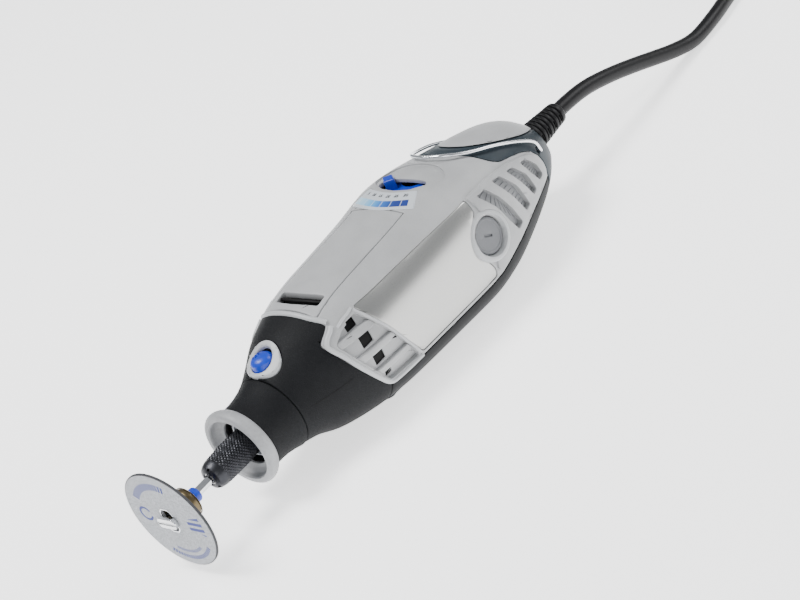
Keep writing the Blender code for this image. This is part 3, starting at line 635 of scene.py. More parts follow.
def plainForm():  # straight stack of rings that every form is shaped from
    start, end = bodyForm["start"], bodyForm["end"]
    count = round((end - start) / bodyForm["step"])
    rings = [(10, start + (end - start) * k / count) for k in range(count + 1)]
    piece = ringStack("plainForm", rings, bodyForm["sides"])
    bpy.ops.object.mode_set(mode="EDIT")
    bpy.ops.mesh.select_all(action="DESELECT")
    bpy.ops.mesh.select_non_manifold()
    bpy.ops.mesh.edge_face_add()
    bpy.ops.object.mode_set(mode="OBJECT")
    return piece


def shapedForm(name, offset, start=bodyForm["start"], end=bodyForm["end"]):
    piece = copyOf(plain, name)
    for vertex in piece.data.vertices:
        x, y, z = vertex.co / mm
        angle = math.degrees(math.atan2(x, y))
        share = (z - bodyForm["start"]) / (bodyForm["end"] - bodyForm["start"])
        station = start + share * (end - start)
        vertex.co = skin(station, angle, offset)
        if not bodyForm["start"] <= station <= bodyForm["end"]:
            vertex.co.y = (station - tool["middle"]) * mm
    return tidyMesh(piece, 0.01)


plain = plainForm()
outer = shapedForm("outer", 0.0)
hollow = shapedForm("hollow", -tool["wall"], 50.5, 203.5)
print("body forms shaped")

# housings

seams = {
    "noseBack": [(74.9, 40), (74.9, 24.0), (76.0, 22.6), (77.3, 20.8), (77.2, 19.2), (73.4, 17.2),
        (70.8, 15.8), (71.2, 13.6), (74.6, 5.1), (82.9, -9.6), (85.0, -11.0)],
    "split": [(85.3, -11.0), (140.0, -11.0), (147.0, -10.5), (156.0, -8.6), (165.0, -6.9), (176.0, -5.1),
        (186.0, -3.7), (193.0, -2.6)],
    "tailFront": [(159.8, 40), (159.8, 28.2), (163.5, 26.6), (167.2, 24.2), (170.6, 19.6), (173.6, 17.2),
        (185.3, 13.0), (190.3, 10.2), (193.4, 6.4), (194.3, 3.2), (193.9, -0.6), (193.0, -2.6)],
    "tailBack": [(163.2, 40), (163.2, 28.4), (178.0, 21.8), (195.4, 13.8), (209, 7.6)],
}
seamGap = 0.16  # half the gap along a seam


def shifted(line, gap):
    return [(station + gap, height) for station, height in line]


def bodyPiece(name, region):  # the part of the housing's shell inside a region
    piece = copyOf(outer, name)
    cut(piece, region, "INTERSECT")
    return cut(piece, hollow, keep=True)


def slab(name, region, top, low):  # the part of the skin inside a region, between two depths
    piece = shapedForm(name, top)
    cut(piece, region, "INTERSECT")
    return cut(piece, shapedForm("under", low))


def sunk(cutter, depth):  # keeps a cutter from going deeper than this into the skin
    return cut(cutter, shapedForm("floorForm", -depth))


def nodeHeights(name):  # bottom and top of a node over the tool's axis
    return [corner.z / mm - tool["axisHeight"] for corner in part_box(name)]


def spun(piece, turn):  # turned about the tool's axis
    home = Vector((0, 0, tool["axisHeight"] * mm))
    piece.data.transform(Matrix.Translation(home) @ Matrix.Rotation(turn, 4, "Y") @ Matrix.Translation(-home))
    return piece


bothSides = ((1, "right"), (-1, "left"))


def sideReach(side, inner):  # low and high x of a prism on one side only
    return (inner, 40) if side > 0 else (-40, -inner)


bezelSet = {"centre": (0, 59.2), "across": 7.7, "along": 5.75, "rise": 0.75}
plateSet = {
    "outline": [(87.6, 19.3), (147.2, 19.9), (147.0, 15.2), (142.0, 11.6), (139.9, 6.5), (140.4, 0.6),
        (143.6, -6.4), (143.4, -9.5), (101.2, -9.5), (97.2, -2.0), (93.6, 6.4)],
    "deep": 1.3, "sunk": 0.25,
}
recessSet = {
    "outline": [(86.4, 18.0), (79.0, 15.9), (74.2, 13.2), (77.9, 4.0), (84.0, -7.6), (85.4, -9.0),
        (99.4, -9.4), (96.2, -1.8), (92.6, 6.2), (89.6, 11.8)],
    "deep": 1.9,
    "holes": ((83.6, 15.6, 2.1, 12), (84.5, 8.6, 2.3, 6), (85.3, 0.7, 2.2, 2), (86.2, -6.3, 1.3, 0)),
    "ribs": ((12.3, 72.9, 90.4), (4.2, 77.0, 94.2), (-3.6, 80.6, 97.8)), "ribWide": 2.5,
}
slotSet = {
    "outline": [(-10.6, 143.6), (-7.0, 141.3), (0, 140.5), (7.0, 141.3), (10.6, 143.6), (11.2, 145.6),
        (9.6, 147.2), (0, 147.5), (-9.6, 147.2), (-11.2, 145.6)],
}
labelSet = {"centre": (0, 165.0), "inner": 26.7, "outer": 35.4, "reach": (-29.0, 25.0), "deep": 0.5}
rimSet = {
    "sides": (("cheek_rim_", 0.0, 0.85, 6, ((77.9, 18.6), (76.4, 17.6), (74.0, 16.4), (72.1, 14.6),
        (72.4, 12.6), (73.8, 9.4), (75.9, 4.2), (78.4, -0.6), (81.4, -5.6), (83.6, -8.6), (85.6, -10.0),
        (88.4, -10.3), (94.0, -10.3), (100.4, -10.3))), ("recess_edge_", -0.12, 0.5, 5, ((86.9, 18.8),
        (89.6, 13.4), (92.2, 8.4), (94.3, 3.6), (96.4, -1.2), (98.4, -5.4), (100.4, -9.6))),
        ("recess_top_", 0.0, 0.5, 5, ((78.9, 17.4), (81.6, 18.3), (84.6, 18.9), (87.0, 19.5)))),
    "brow": ((-15.6, 78.2), (-13.6, 77.4), (-10.4, 76.4), (-5.4, 75.9), (0, 75.8), (5.4, 75.9),
        (10.4, 76.4), (13.6, 77.4), (15.6, 78.2)),
}
coverSet = {
    "half": 12.5, "front": 77.4, "end": 129.8,
    "vent": [(-9.4, 81.4), (-5, 80.3), (0, 79.9), (5, 80.3), (10.6, 81.6), (10.6, 86.2), (5, 85.2),
        (0, 84.9), (-5, 85.2), (-9.4, 85.9)],
    "rib": ((-9.6, 83.9), (-5, 83.0), (0, 82.6), (5, 83.0), (10.4, 84.2)),
}
screwPlaces = ((12.5, 89.4), (-12.5, 89.4), (9.0, 174.0), (-9.0, 174.0))
fingerSet = {"centre": (0, 149.2), "across": 15.4, "along": 8.3, "deep": 0.8}
ladderSet = {
    "outline": [(147.6, 20.4), (160.0, 19.2), (174.0, 16.0), (185.2, 12.0), (189.8, 9.4), (192.8, 5.8),
        (193.4, 2.8), (192.8, -0.6), (186.3, -2.3), (176.1, -3.6), (165.1, -5.4), (156.0, -7.4),
        (146.6, -9.2), (144.4, -7.8), (149.0, 15.2)],
    "windows": ([(151.6, 18.1), (156.9, 17.5), (160.2, 12.2), (163.3, 4.7), (165.5, -2.4), (161.8, -2.9),
        (158.8, 3.6), (156.4, 10.6)], [(162.2, 16.9), (167.1, 15.9), (171.7, 8.8), (174.0, -0.9),
        (170.4, -1.2), (166.4, 8.4)], [(171.6, 14.7), (175.8, 13.5), (180.0, 7.5), (181.5, 0.3),
        (178.4, 0.1), (175.4, 7.2)], [(180.6, 12.0), (184.7, 10.7), (188.3, 6.0), (189.3, 1.4),
        (186.0, 0.8), (182.9, 6.2)]),
    "rise": 0.75, "deep": 1.5,
}
collarSet = {"radius": 9.4, "bore": 7.0, "reach": 28.35, "station": 147.4}
dialSet = {"centre": (0, 153), "roof": 25.9, "rest": -40.0}


def sector(name, low, high, reach, inner, outerRadius, centre):
    start, end = reach
    count = 20
    outline = []
    for radius, angles in ((outerRadius, range(count + 1)), (inner, range(count, -1, -1))):
        for k in angles:
            turn = math.radians(start + (end - start) * k / count)
            outline.append((centre[0] + radius * math.sin(turn), centre[1] - radius * math.cos(turn)))
    return prism(name, softened(outline, 0.9, 3) if name == "label" else outline, low, high, "top")


def noseShell():
    line = shifted(softened(seams["noseBack"][:-1], 1.2, 3)[4:-4], -seamGap)
    region = prism("noseRegion", [(53.25, 40), (53.25, -40), (84.9, -40), (84.9, -11)] + line[::-1], -40, 40)
    piece = bodyPiece("gripNose", region)
    seat = prism("seat", oval(bezelSet["centre"], bezelSet["across"] + 0.25, bezelSet["along"] + 0.25), 8, 30,
            "top")
    cut(piece, sunk(seat, 1.3))
    cut(piece, turned("bore", [(0, 8), (4.45, 8), (4.45, 30), (0, 30)], "Z", (0, 59, 0), 48))
    finished(piece, "grip_nose", gripBlack, replaced=["nose_housing"], bevel=0.3)
    for side, word in bothSides:  # fine seam line along each cheek
        line = eased([sideSkin(station, 1.4, -0.06, side) for station in (56.8, 61, 66, 70, 72.6)], 1.0)
        groove = meshTube("groove", line, 0.16, resolution=2)
        finished(groove, "cheek_seam_" + word, blackAndPaintedShade)


def lockBezel():
    region = prism("bezelRegion", oval(bezelSet["centre"], bezelSet["across"], bezelSet["along"]), 8, 30,
            "top")
    piece = slab("bezel", region, bezelSet["rise"], -1.1)
    cut(piece, turned("bore", [(0, 8), (4.4, 8), (4.4, 30), (0, 30)], "Z", (0, 59, 0), 48))
    finished(piece, "button_bezel", paleRim, replaced=["lock_bezel"], bevel=0.45)


def upperShell():
    front = softened(seams["noseBack"][:-1], 1.2, 3)[4:-4]
    rear = softened(seams["tailFront"], 0.8, 3)[4:-4]
    split = [(station, height + seamGap) for station, height in seams["split"]]
    piece = bodyPiece("upperShell", prism("upperRegion", shifted(front, seamGap) + split
            + shifted(rear, -seamGap)[::-1], -40, 40))
    half, end = coverSet["half"] + seamGap, coverSet["end"] + seamGap
    cut(piece, prism("coverSpace", [(-half, 60), (half, 60), (half, end), (-half, end)], 10, 40, "top"))
    cut(piece, sunk(prism("plateSeat", grown(softened(plateSet["outline"], 1.4), 0.14), -40, 40),
            plateSet["deep"]))
    cut(piece, sunk(prism("recess", softened(recessSet["outline"], 1.5), -40, 40), recessSet["deep"]))
    for station, height, half, lean in recessSet["holes"]:
        slant = math.tan(math.radians(lean)) * half
        corners = [(station - half - slant, height - half), (station + half - slant, height - half + 0.4),
                (station + half + slant, height + half), (station - half + slant, height + half - 0.4)]
        cut(piece, prism("outlet", corners, -40, 40))
    for window in ladderSet["windows"]:
        cut(piece, sunk(prism("window", softened(window, 0.9, 3), -40, 40), ladderSet["deep"]))
    for side, word in bothSides:
        cut(piece, brushTurned("capBore", [(0, 20), (collarSet["bore"], 20), (collarSet["bore"], 40),
                (0, 40)], side, 64))
    cut(piece, prism("slot", softened(slotSet["outline"], 1.2, 4), 20, 40, "top"))
    cut(piece, sector("dialSpace", 16, dialSet["roof"], (-72, 132), 3.4, 13.1, dialSet["centre"]))
    cut(piece, sunk(prism("scoop", oval(fingerSet["centre"], fingerSet["across"], fingerSet["along"]), 20, 40,
            "top"), fingerSet["deep"]))
    cut(piece, sunk(sector("label", 20, 40, labelSet["reach"], labelSet["inner"] - 0.15,
            labelSet["outer"] + 0.15, labelSet["centre"]), labelSet["deep"]))
    finished(piece, "upper_shell", lightGrey, replaced=["upper_housing"], bevel=0.25, weld=0.06)


def brushTurn(side):  # lays a +Z piece along the brush axis
    lean = math.radians(10)
    along = Vector((side * math.cos(lean), 0, math.sin(lean)))
    return Vector((0, 0, 1)).rotation_difference(along).to_matrix().to_4x4()


def brushTurned(name, profile, side, sides=96):
    return turned(name, profile, "X", (0, collarSet["station"], 0), sides, turn=brushTurn(side))


def recessRibs():  # three broad bars over the outlet on each side
    half = recessSet["ribWide"] / 2
    for side, word in bothSides:
        ribs = []
        for height, start, end in recessSet["ribs"]:
            outline = softened([(start, height - half), (end, height - half), (end - 1.4, height + half),
                    (start - 1.2, height + half)], 0.5, 3)
            rib = slab("rib", prism("ribRegion", outline, *sideReach(side, 10)), -0.35, -2.3)
            cut(rib, prism("fit", softened(recessSet["outline"], 1.5), -40, 40), "INTERSECT")
            addBevel(rib, 0.5, 40)
            ribs.append(applyAll(rib))
        finished(joined(ribs, "ribs"), "outlet_bars_" + word, lightGrey)


def rims():  # rolled edges round the nose boundary and the recess
    for side, word in bothSides:
        for name, offset, radius, resolution, spots in rimSet["sides"]:
            line = [sideSkin(station, height, offset, side) for station, height in spots]
            rim = meshTube("rim", eased(line, 0.8), radius, resolution=resolution)
            finished(rim, name + word, paleRim, smooth=60)
    knots = [topSkin(x, station, -0.25) for x, station in rimSet["brow"]]
    brow = meshTube("brow", eased(knots, 0.8), 1.0, resolution=6)
    finished(brow, "brow_rim", paleRim, smooth=60)


def topCover():
    half, front, end = coverSet["half"] - seamGap, coverSet["front"], coverSet["end"] - seamGap
    outline = [(-half, front), (half, front), (half, end), (-half, end)]
    piece = bodyPiece("cover", prism("coverRegion", outline, 10, 40, "top"))
    cut(piece, prism("vent", softened(coverSet["vent"], 0.8, 3), 10, 40, "top"))
    finished(piece, "top_cover_skin", lightGrey, replaced=["top_cover"], bevel=0.3)
    knots = [topSkin(x, station, -1.3) for x, station in coverSet["rib"]]
    rib = meshTube("rib", eased(knots, 0.8), 0.65, resolution=5)
    finished(rib, "vent_rib", blackAndPaintedShade, smooth=60)
    # dark sheet under the vent opening: painted shade inside the vent
    back = prism("ventBack", [(-12, 76), (12, 76), (12, 92), (-12, 92)], 16, 40, "top")
    finished(slab("dark", back, -2.6, -3.4), "vent_shade_sheet", blackAndPaintedShade)


def lowerShell():
    split = [(station, height - seamGap) for station, height in seams["split"]]
    outline = [(85.2, -40), (85.2, split[0][1])] + split[1:] + [(193.4, -40)]
    piece = bodyPiece("lowerShell", prism("lowerRegion", outline, -40, 40))
    for number, (x, station) in enumerate(screwPlaces, 1):
        top = nodeHeights("housing_screw_%d" % number)[0] + 1.2
        cut(piece, turned("screwHole", [(0, -40), (3.4, -40), (3.4, top), (0, top)], "Z", (x, station, 0),
                32))
    finished(piece, "belly_shell", bellyBlack, replaced=["lower_housing"], bevel=0.35)


def tailShell():
    front = softened(seams["tailFront"], 0.8, 3)[4:-4]
    back = seams["tailBack"]
    outline = (shifted(front, seamGap) + [(193.0 + seamGap, -40), (212, -40), (212, 6.2)]
            + [(p[0] - seamGap, p[1] - seamGap) for p in back[::-1]])
    piece = bodyPiece("tailShell", prism("tailRegion", outline, -40, 40))
    cut(piece, turned("reliefHole", [(0, 198), (6.3, 198), (6.3, 210), (0, 210)],
            place=(0, 0, cordSet["height"]), sides=48))
    cut(piece, turned("bailBore", [(0, -22), (1.3, -22), (1.3, 22), (0, 22)], "X", (0, 195.6, 7.0), 24))
    finished(piece, "tail_shell", slate, replaced=["tail_cap"], bevel=0.45)
    outline = [(p[0] + seamGap, p[1] + seamGap) for p in back] + [(209, 40)]
    piece = bodyPiece("hump", prism("humpRegion", outline, -40, 40))
    finished(piece, "hump_shell", lightGrey, replaced=["tail_cover"], bevel=0.4)


def sidePlates():
    for side, word in bothSides:
        region = prism("plateRegion", softened(plateSet["outline"], 1.4), *sideReach(side, 14))
        piece = slab("plate", region, -plateSet["sunk"], -plateSet["deep"] + 0.1)
        finished(piece, "side_plate_%s_skin" % word, silver, replaced=["side_plate_" + word],
                bevel=0.35)


def ladders():
    radius, bore, reach = collarSet["radius"], collarSet["bore"] + 0.05, collarSet["reach"]
    floor = -ladderSet["deep"] + 0.12
    for side, word in bothSides:
        low, high = sideReach(side, 8)
        ladder = slab("ladder", prism("ladderRegion", softened(ladderSet["outline"], 1.5), low, high),
                ladderSet["rise"], -0.6)
        for window in ladderSet["windows"]:
            cut(ladder, prism("window", softened(window, 0.9, 3), low, high))
        cut(ladder, brushTurned("bore", [(0, 20), (radius - 0.4, 20), (radius - 0.4, 40), (0, 40)], side, 64))
        finished(ladder, "vent_ladder_" + word, lightGrey, bevel=0.3, weld=0.14)
        collar = brushTurned("collar", [(bore, reach - 3.2), (radius, reach - 3.2), (radius, reach + 0.1),
                (radius - 0.9, reach + 0.9), (radius - 1.7, reach + 0.8), (bore, reach - 0.5),
                (bore, reach - 3.2)], side)
        finished(collar, "brush_collar_" + word, paleRim, smooth=50)
        openings = [prism("opening", grown(softened(window, 0.9, 3), 0.1), low,
                high) for window in ladderSet["windows"]]
        panels = slab("panels", joined(openings, "openings"), floor, floor - 0.42)
        finished(panels, "vent_panels_" + word, panelGrey)
        for number, window in enumerate(ladderSet["windows"], 1):  # fine bars on the panels
            lines = []
            a, b, c, d = (Vector(window[k]) for k in (0, 1, 3, 4))
            for k in range(1, 9):
                p, q = a.lerp(d, k / 9), b.lerp(c, k / 9)
                line = [sideSkin(*p.lerp(q, s), floor + 0.05, side) for s in (0.04, 0.35, 0.65, 0.96)]
                lines.append(meshTube("fine", line, 0.17, resolution=1))
            finished(joined(lines, "fine"), "panel_bars_%s_%d" % (word, number), recessGrey,
                    smooth=60)


def brushCaps():
    for side, word in bothSides:
        cap = brushTurned("cap", [(0, 24.6), (6.75, 24.6), (6.75, 27.3), (6.3, 27.75), (5.6, 27.8),
                (5.3, 27.6), (0, 27.6)], side)
        groove = prism("groove", [(-1.9, -0.42), (1.9, -0.42), (1.9, 0.42), (-1.9, 0.42)], 0, 1, "top")
        groove.data.transform(Matrix.Translation(-at(0, 0, 0)))
        groove.data.transform(Matrix.Translation(at(0, collarSet["station"], 0)) @ brushTurn(side)
                @ Matrix.Translation((0, 0, 26.9 * mm)) @ Matrix.Rotation(math.radians(60), 4, "Z"))
        cut(cap, groove)
        finished(cap, "brush_cap_%s_skin" % word, capGrey, replaced=["brush_cap_" + word],
                bevel=0.18)


def speedDial():
    centre, rest = dialSet["centre"], dialSet["rest"]
    base = sector("dialBase", 21.2, 22.8, (-62, 66), 4.0, 12.4, centre)
    crescent = sector("crescent", 22.6, 25.4, (-50, 52), 6.4, 12.3, centre)
    teeth = []
    for angle in range(-46, 50, 4):
        turn = math.radians(angle)
        tooth = turned("tooth", [(0.42, 24.6), (0.42, 25.45), (0.2, 25.6), (0.002, 25.6)], "Z",
                (11.6 * math.sin(turn), centre[1] - 11.6 * math.cos(turn), 0), 10)
        teeth.append(tooth)
    pointer = []
    for angle, radius in ((-15, 12.0), (6, 12.0), (17, 8.3), (-17, 8.3)):
        turn = math.radians(rest + angle)
        pointer.append((radius * math.sin(turn), centre[1] - radius * math.cos(turn)))
    knob = prism("knob", softened(pointer, 0.5, 3), 24.0, 29.5, "top")
    softEdges(knob, 0.5, 50)
    finished(joined([base, crescent, knob] + teeth, "dial"), "dial_skin", buttonBlue, "dial",
            ["speed_dial"])


def outletShadeSheets():  # dark sheet behind the cooling openings: painted shade inside them
    for side, word in bothSides:
        region = prism("shadeSheetRegion", [(78, -8.5), (92, -8.5), (92, 19), (78, 19)], *sideReach(side, 10))
        finished(slab("outletShadeSheet", region, -2.55, -3.2), "outlet_shade_sheet_" + word, blackAndPaintedShade)


def scaleLabel():
    region = sector("label", 20, 40, labelSet["reach"], labelSet["inner"], labelSet["outer"],
            labelSet["centre"])
    piece = slab("labelSkin", region, -0.12, -labelSet["deep"] + 0.05)
    finished(piece, "speed_scale", card, replaced=["scale_label"], bevel=0.12)
    figures = []
    for number, figure in enumerate(("5", "10", "15", "20", "25", "30")):
        turn = math.radians(-21 + number * 7.6)
        x, station = 28.7 * math.sin(turn), 165 - 28.7 * math.cos(turn)
        text = bpy.data.curves.new("figure", "FONT")
        text.body = figure
        text.size = 1.9 * mm
        text.extrude = 0.06 * mm
        text.align_x, text.align_y = "CENTER", "CENTER"
        made = bpy.data.objects.new("figure", text)
        bpy.context.scene.collection.objects.link(made)
        active(made)
        bpy.ops.object.convert(target="MESH")
        made = bpy.context.object
        slope = (topSkin(x + 0.5, station) - topSkin(x - 0.5, station)).normalized()
        made.data.transform(Matrix.Translation(topSkin(x, station, -0.08))
                @ Matrix.Rotation(-math.atan2(slope.z, slope.x), 4, "Y") @ Matrix.Rotation(turn, 4, "Z"))
        figures.append(made)
    finished(joined(figures, "figures"), "scale_figures", blackAndPaintedShade)


def hangerWire():
    half = []
    for x, station, height in ((17.2, 195.6, 7.0), (17.2, 194.0, 11.6), (16.6, 188.0, 16.0),
            (15.4, 178.0, 21.2), (12.8, 168.0, 25.2), (7.6, 160.6, 28.6), (0, 158.6, 29.3)):
        half.append(at(x, station, height))
    half = eased(half, 1.0)
    whole = half + [Vector((-p.x, p.y, p.z)) for p in reversed(half[:-1])]
    ends = [Vector((12.6 * mm, whole[0].y, whole[0].z)), Vector((-12.6 * mm, whole[0].y, whole[0].z))]
    piece = meshTube("hanger", [ends[0]] + whole + [ends[1]], 0.65, resolution=6)
    finished(piece, "hanger_wire", brightEdge, "hanger", ["hanger_bail"], smooth=60)


# nose, nut and mandrel


def noseParts():
    cap = turned("cap", [(8.9, 39.1), (12.8, 39.1), (12.5, 41.2), (12.5, 43.6), (12.8, 46.8), (13.5, 50.2),
            (14.25, 52.6), (14.25, 53.0), (10.2, 53.0), (10.2, 41.1), (8.9, 41.1), (8.9, 39.1)], bevel=0.25)
    finished(cap, "nose_cap_skin", gripBlack, "nose_cap", ["nose_cap"])
    ring = turned("ring", [(12.1, 33.9), (13.5, 33.9), (14.2, 34.3), (14.6, 35.0), (14.7, 35.9), (14.5, 37.0),
            (14.0, 38.0), (13.3, 38.8), (8.9, 38.8), (8.9, 37.9), (10.0, 37.5), (11.1, 36.5), (11.6, 35.5),
            (11.7, 34.5), (12.1, 33.9)], bevel=0.12)
    finished(ring, "nose_ring_skin", ringGrey, "nose_cap", ["nose_ring"])
    collar = turned("collar", [(6.9, 40.3), (7.9, 40.3), (7.9, 43.0), (9.9, 43.0), (9.9, 53.6), (11.2, 53.6),
            (11.2, 56.0), (9.9, 56.0), (9.9, 64.4), (8.3, 64.4), (8.3, 44.6), (6.9, 44.6), (6.9, 40.3)],
            bevel=0.15)
    cut(collar, turned("pinHole", [(0, 5), (1.9, 5), (1.9, 12), (0, 12)], "Z", (0, 59, 0), 24))
    cut(collar, turned("flangePocket", [(0, 9.0), (5.5, 9.0), (5.5, 16), (0, 16)], "Z", (0, 59, 0), 32))
    finished(collar, "nose_collar_skin", brightEdge, replaced=["nose_collar"])


def lockButton():
    dome = [(0.0, 19.9), (1.2, 19.85), (2.2, 19.65), (3.0, 19.3), (3.7, 18.75), (4.15, 18.0), (4.2, 12.4),
            (5.0, 12.4), (5.0, 11.4), (3.1, 11.4), (3.1, 17.3), (0.0, 17.3)]
    piece = turned("button", dome, "Z", (0, 59, 0), 64, bevel=0.15)
    for row in range(3):  # little grip pits on the left half
        for column in range(2 + row % 2):
            x, station = -0.6 - row * 0.95, 57.4 + column * 1.35 + (0 if row % 2 else 0.7)
            reach = math.hypot(x, station - 59)
            height = 19.9 - 0.09 * reach ** 2 - 0.1
            cut(piece, turned("pit", [(0, height - 0.25), (0.4, height - 0.1), (0.46, height + 1.6),
                    (0, height + 1.6)], "Z", (x, station, 0), 12))
    finished(piece, "button_skin", buttonBlue, "lock", ["lock_button"])


def knurledNut():  # grid of small pyramids pressed round the nut
    rows, columns = 60, 144
    rings = [(2.2, 21.9), (2.2, 19.5), (2.6, 19.35), (3.1, 19.5), (4.2, 20.1), (4.75, 21.0), (5.05, 22.2)]
    start, end = 22.8, 39.6
    for k in range(rows + 1):
        rings.append((5.2, start + (end - start) * k / rows))
    rings += [(5.1, 40.2), (4.8, 41.6), (4.1, 41.6), (4.1, 25.6), (3.7, 25.6), (3.7, 21.9), (2.2, 21.9)]
    piece = turned("nut", rings, sides=columns)
    for vertex in piece.data.vertices:
        x, y, z = vertex.co / mm
        station, height = y + tool["middle"], z - tool["axisHeight"]
        radius = math.hypot(x, height)
        if radius < 5.0 or not start < station < end:
            continue
        turn = math.atan2(x, height) * 24 / math.tau
        wave = station / 1.25
        first, second = abs((turn + wave) % 1 - 0.5) * 2, abs((turn - wave) % 1 - 0.5) * 2
        waist = 0.28 * math.sin(math.pi * (station - start) / (end - start))
        rise = (min(first, second) * 0.34 - 0.2 + waist) * (1.0 if 23.2 < station < 38.8 else 0.3)
        share = (radius + rise) / radius
        vertex.co.x *= share
        vertex.co.z = (tool["axisHeight"] + height * share) * mm
    for k in range(3):  # wrench flats leave bright teeth at the mouth
        tooth = prism("tooth", [(-0.5, 3.4), (0.5, 3.4), (0.7, 5.6), (-0.7, 5.6)], 18.6, 20.3, "end")
        cut(piece, spun(tooth, math.radians(120 * k + 20)))
    finished(piece, "nut_skin", blackOxide, "collet_nut", ["collet_nut"], smooth=25)
    cone = turned("cone", [(1.9, 22.3), (1.9, 19.8), (2.15, 19.7), (2.15, 22.0), (2.7, 22.3), (3.3, 23.2),
            (3.3, 24.8), (2.3, 25.8), (2.3, 38.0), (1.9, 38.0), (1.9, 22.3)], sides=64, bevel=0.05)
    for k in range(2):
        saw = prism("saw", [(-0.22, -4), (0.22, -4), (0.22, 4), (-0.22, 4)], 19.0, 34.0, "end")
        cut(cone, spun(saw, math.pi / 2 * k + 0.4))
    finished(cone, "collet_skin", steel, "spindle", ["collet"])


def mandrel():
    shank = turned("shank", [(0, 1.0), (1.6, 1.0), (1.6, 36.8), (1.4, 37.0), (0, 37.0)], sides=48)
    finished(shank, "shank_skin", chrome, "spindle", ["mandrel_shank"])
    stop = turned("stop", [(1.65, 8.4), (2.7, 8.4), (2.7, 12.3), (2.4, 12.8), (1.65, 12.8), (1.65, 8.4)],
            sides=48, bevel=0.12)
    finished(stop, "stop_skin", buttonBlue, "spindle", ["mandrel_stop"])
    drum = turned("drum", [(1.9, 0.9), (5.6, 0.9), (5.7, 1.2), (5.6, 1.8), (4.9, 2.2), (4.2, 2.8), (4.0, 3.6),
            (4.05, 4.8), (4.4, 5.8), (5.2, 6.8), (5.35, 7.4), (5.3, 8.6), (4.8, 9.4), (3.0, 9.4), (3.0, 5.3),
            (1.9, 5.3), (1.9, 0.9)], bevel=0.12)
    finished(drum, "drum_skin", brass, "mandrel_sleeve", ["mandrel_sleeve"])
    for number, place in enumerate((1.55, 8.9)):
        bead = turned("bead", [(5.35, place - 0.25), (5.62, place), (5.35, place + 0.25), (5.2, place),
                (5.35, place - 0.25)], sides=64)
        finished(bead, "drum_bead_%d" % (number + 1), brass, "mandrel_sleeve")


def cuttingDisc():
    piece = turned("disc", [(0, -0.5), (18.7, -0.5), (19.0, -0.3), (19.0, 0.3), (18.7, 0.5), (0, 0.5)],
            sides=160)
    opening = [(1.5, 4.4), (2.6, 3.0), (2.6, -3.0), (1.5, -4.4), (-1.5, -4.4), (-2.6, -3.0), (-2.6, 3.0),
            (-1.5, 4.4)]
    cut(piece, prism("opening", softened(opening, 0.6, 4), -3, 3, "end"))
    finished(piece, "disc_skin", abrasive, "spindle", ["cutting_disc"])
    eye = prism("eye", softened([(u * 1.14, v * 1.1) for u, v in opening], 0.7, 4), -0.72, -0.42, "end")
    cut(eye, prism("eyeHole", softened(opening, 0.6, 4), -3, 3, "end"))
    finished(eye, "disc_eyelet", brightEdge, "spindle", bevel=0.08)
    head = [(4.2, 1.0), (3.4, 2.0), (-3.4, 2.0), (-4.2, 1.0), (-4.2, -1.0), (-3.4, -2.0), (3.4, -2.0),
            (4.2, -1.0)]
    crossbar = prism("bar", softened(head, 0.5, 3), -2.4, -0.9, "end")
    cut(crossbar, prism("groove", [(-6, -0.35), (6, -0.35), (6, 0.35), (-6, 0.35)], -2.5, -2.0, "end"))
    neck = turned("neck", [(0, -1.2), (1.5, -1.2), (1.5, 0.7), (0, 0.7)], sides=32)
    cut(crossbar, neck, "UNION")
    finished(crossbar, "head_skin", chrome, "spindle", ["mandrel_head"], bevel=0.2)
    back = turned("back", [(0, 0.52), (2.4, 0.52), (2.4, 0.7), (0, 0.7)], sides=32)
    finished(back, "disc_backing", blackAndPaintedShade, "spindle")


def screwHeads():
    for number, (x, station) in enumerate(screwPlaces, 1):
        low, high = nodeHeights("housing_screw_%d" % number)
        shape = [(0, low + 0.45), (0.9, low + 0.3), (2.2, low), (2.8, low + 0.25), (3.0, low + 0.8),
                (3.0, low + 1.2), (1.4, low + 1.25), (1.4, high), (0, high)]
        piece = turned("screw", shape, "Z", (x, station, 0), 40)
        for across, along in ((1.7, 0.3), (0.3, 1.7)):
            cut(piece, prism("bit", [(x - across, station - along), (x + across, station - along),
                    (x + across, station + along), (x - across, station + along)], low - 1, low + 0.75,
                    "top"))
        finished(piece, "screw_head_%d" % number, blackOxide,
                replaced=["housing_screw_%d" % number])


# cord, its coil, tie and plug

cordSet = {"radius": 3.0, "height": 2.2, "length": 1.7, "coilCentre": (-14.0, 422.0), "coilRadius": 33.0,
           "tieAngle": 60.0, "plugTurn": 330.0, "coilTop": 19.2,
           # radius and height above the floor of each turn: three below, three on them, two on top
           "turns": ((42.0, 3.8), (36.0, 3.8), (30.0, 3.8), (27.0, 9.5), (33.0, 9.5), (39.0, 9.5),
                     (36.0, 15.2),
                     (30.0, 15.2)),
           "entry": -50.0, "lag": 45.0, "change": 75.0, "stop": 96.0}


def coilPoint(angle, radius, height):  # angle in degrees, height above the floor
    turn = math.radians(angle)
    return at(cordSet["coilCentre"][0] + radius * math.cos(turn),
            cordSet["coilCentre"][1] + radius * math.sin(turn), height - tool["axisHeight"])


def coilRoute():  # each turn moves on to the next place a little sooner
    turns, lag, change = cordSet["turns"], cordSet["lag"], cordSet["change"]
    route = []
    angle = cordSet["entry"]
    for number, (radius, height) in enumerate(turns):
        end = cordSet["entry"] + (360 - lag) * (number + 1)
        if number == len(turns) - 1:
            end = cordSet["entry"] + (360 - lag) * number
            while (end - cordSet["stop"]) % 360 > 15:
                end += 15
        while angle < end:
            share = max(0.0, (angle - (end - change)) / change) if number < len(turns) - 1 else 0.0
            share = share * share * (3 - 2 * share)
            nextRadius, nextHeight = turns[min(number + 1, len(turns) - 1)]
            route.append(coilPoint(angle, radius + (nextRadius - radius) * share,
                    height + (nextHeight - height) * share))
            angle += 12
    return route


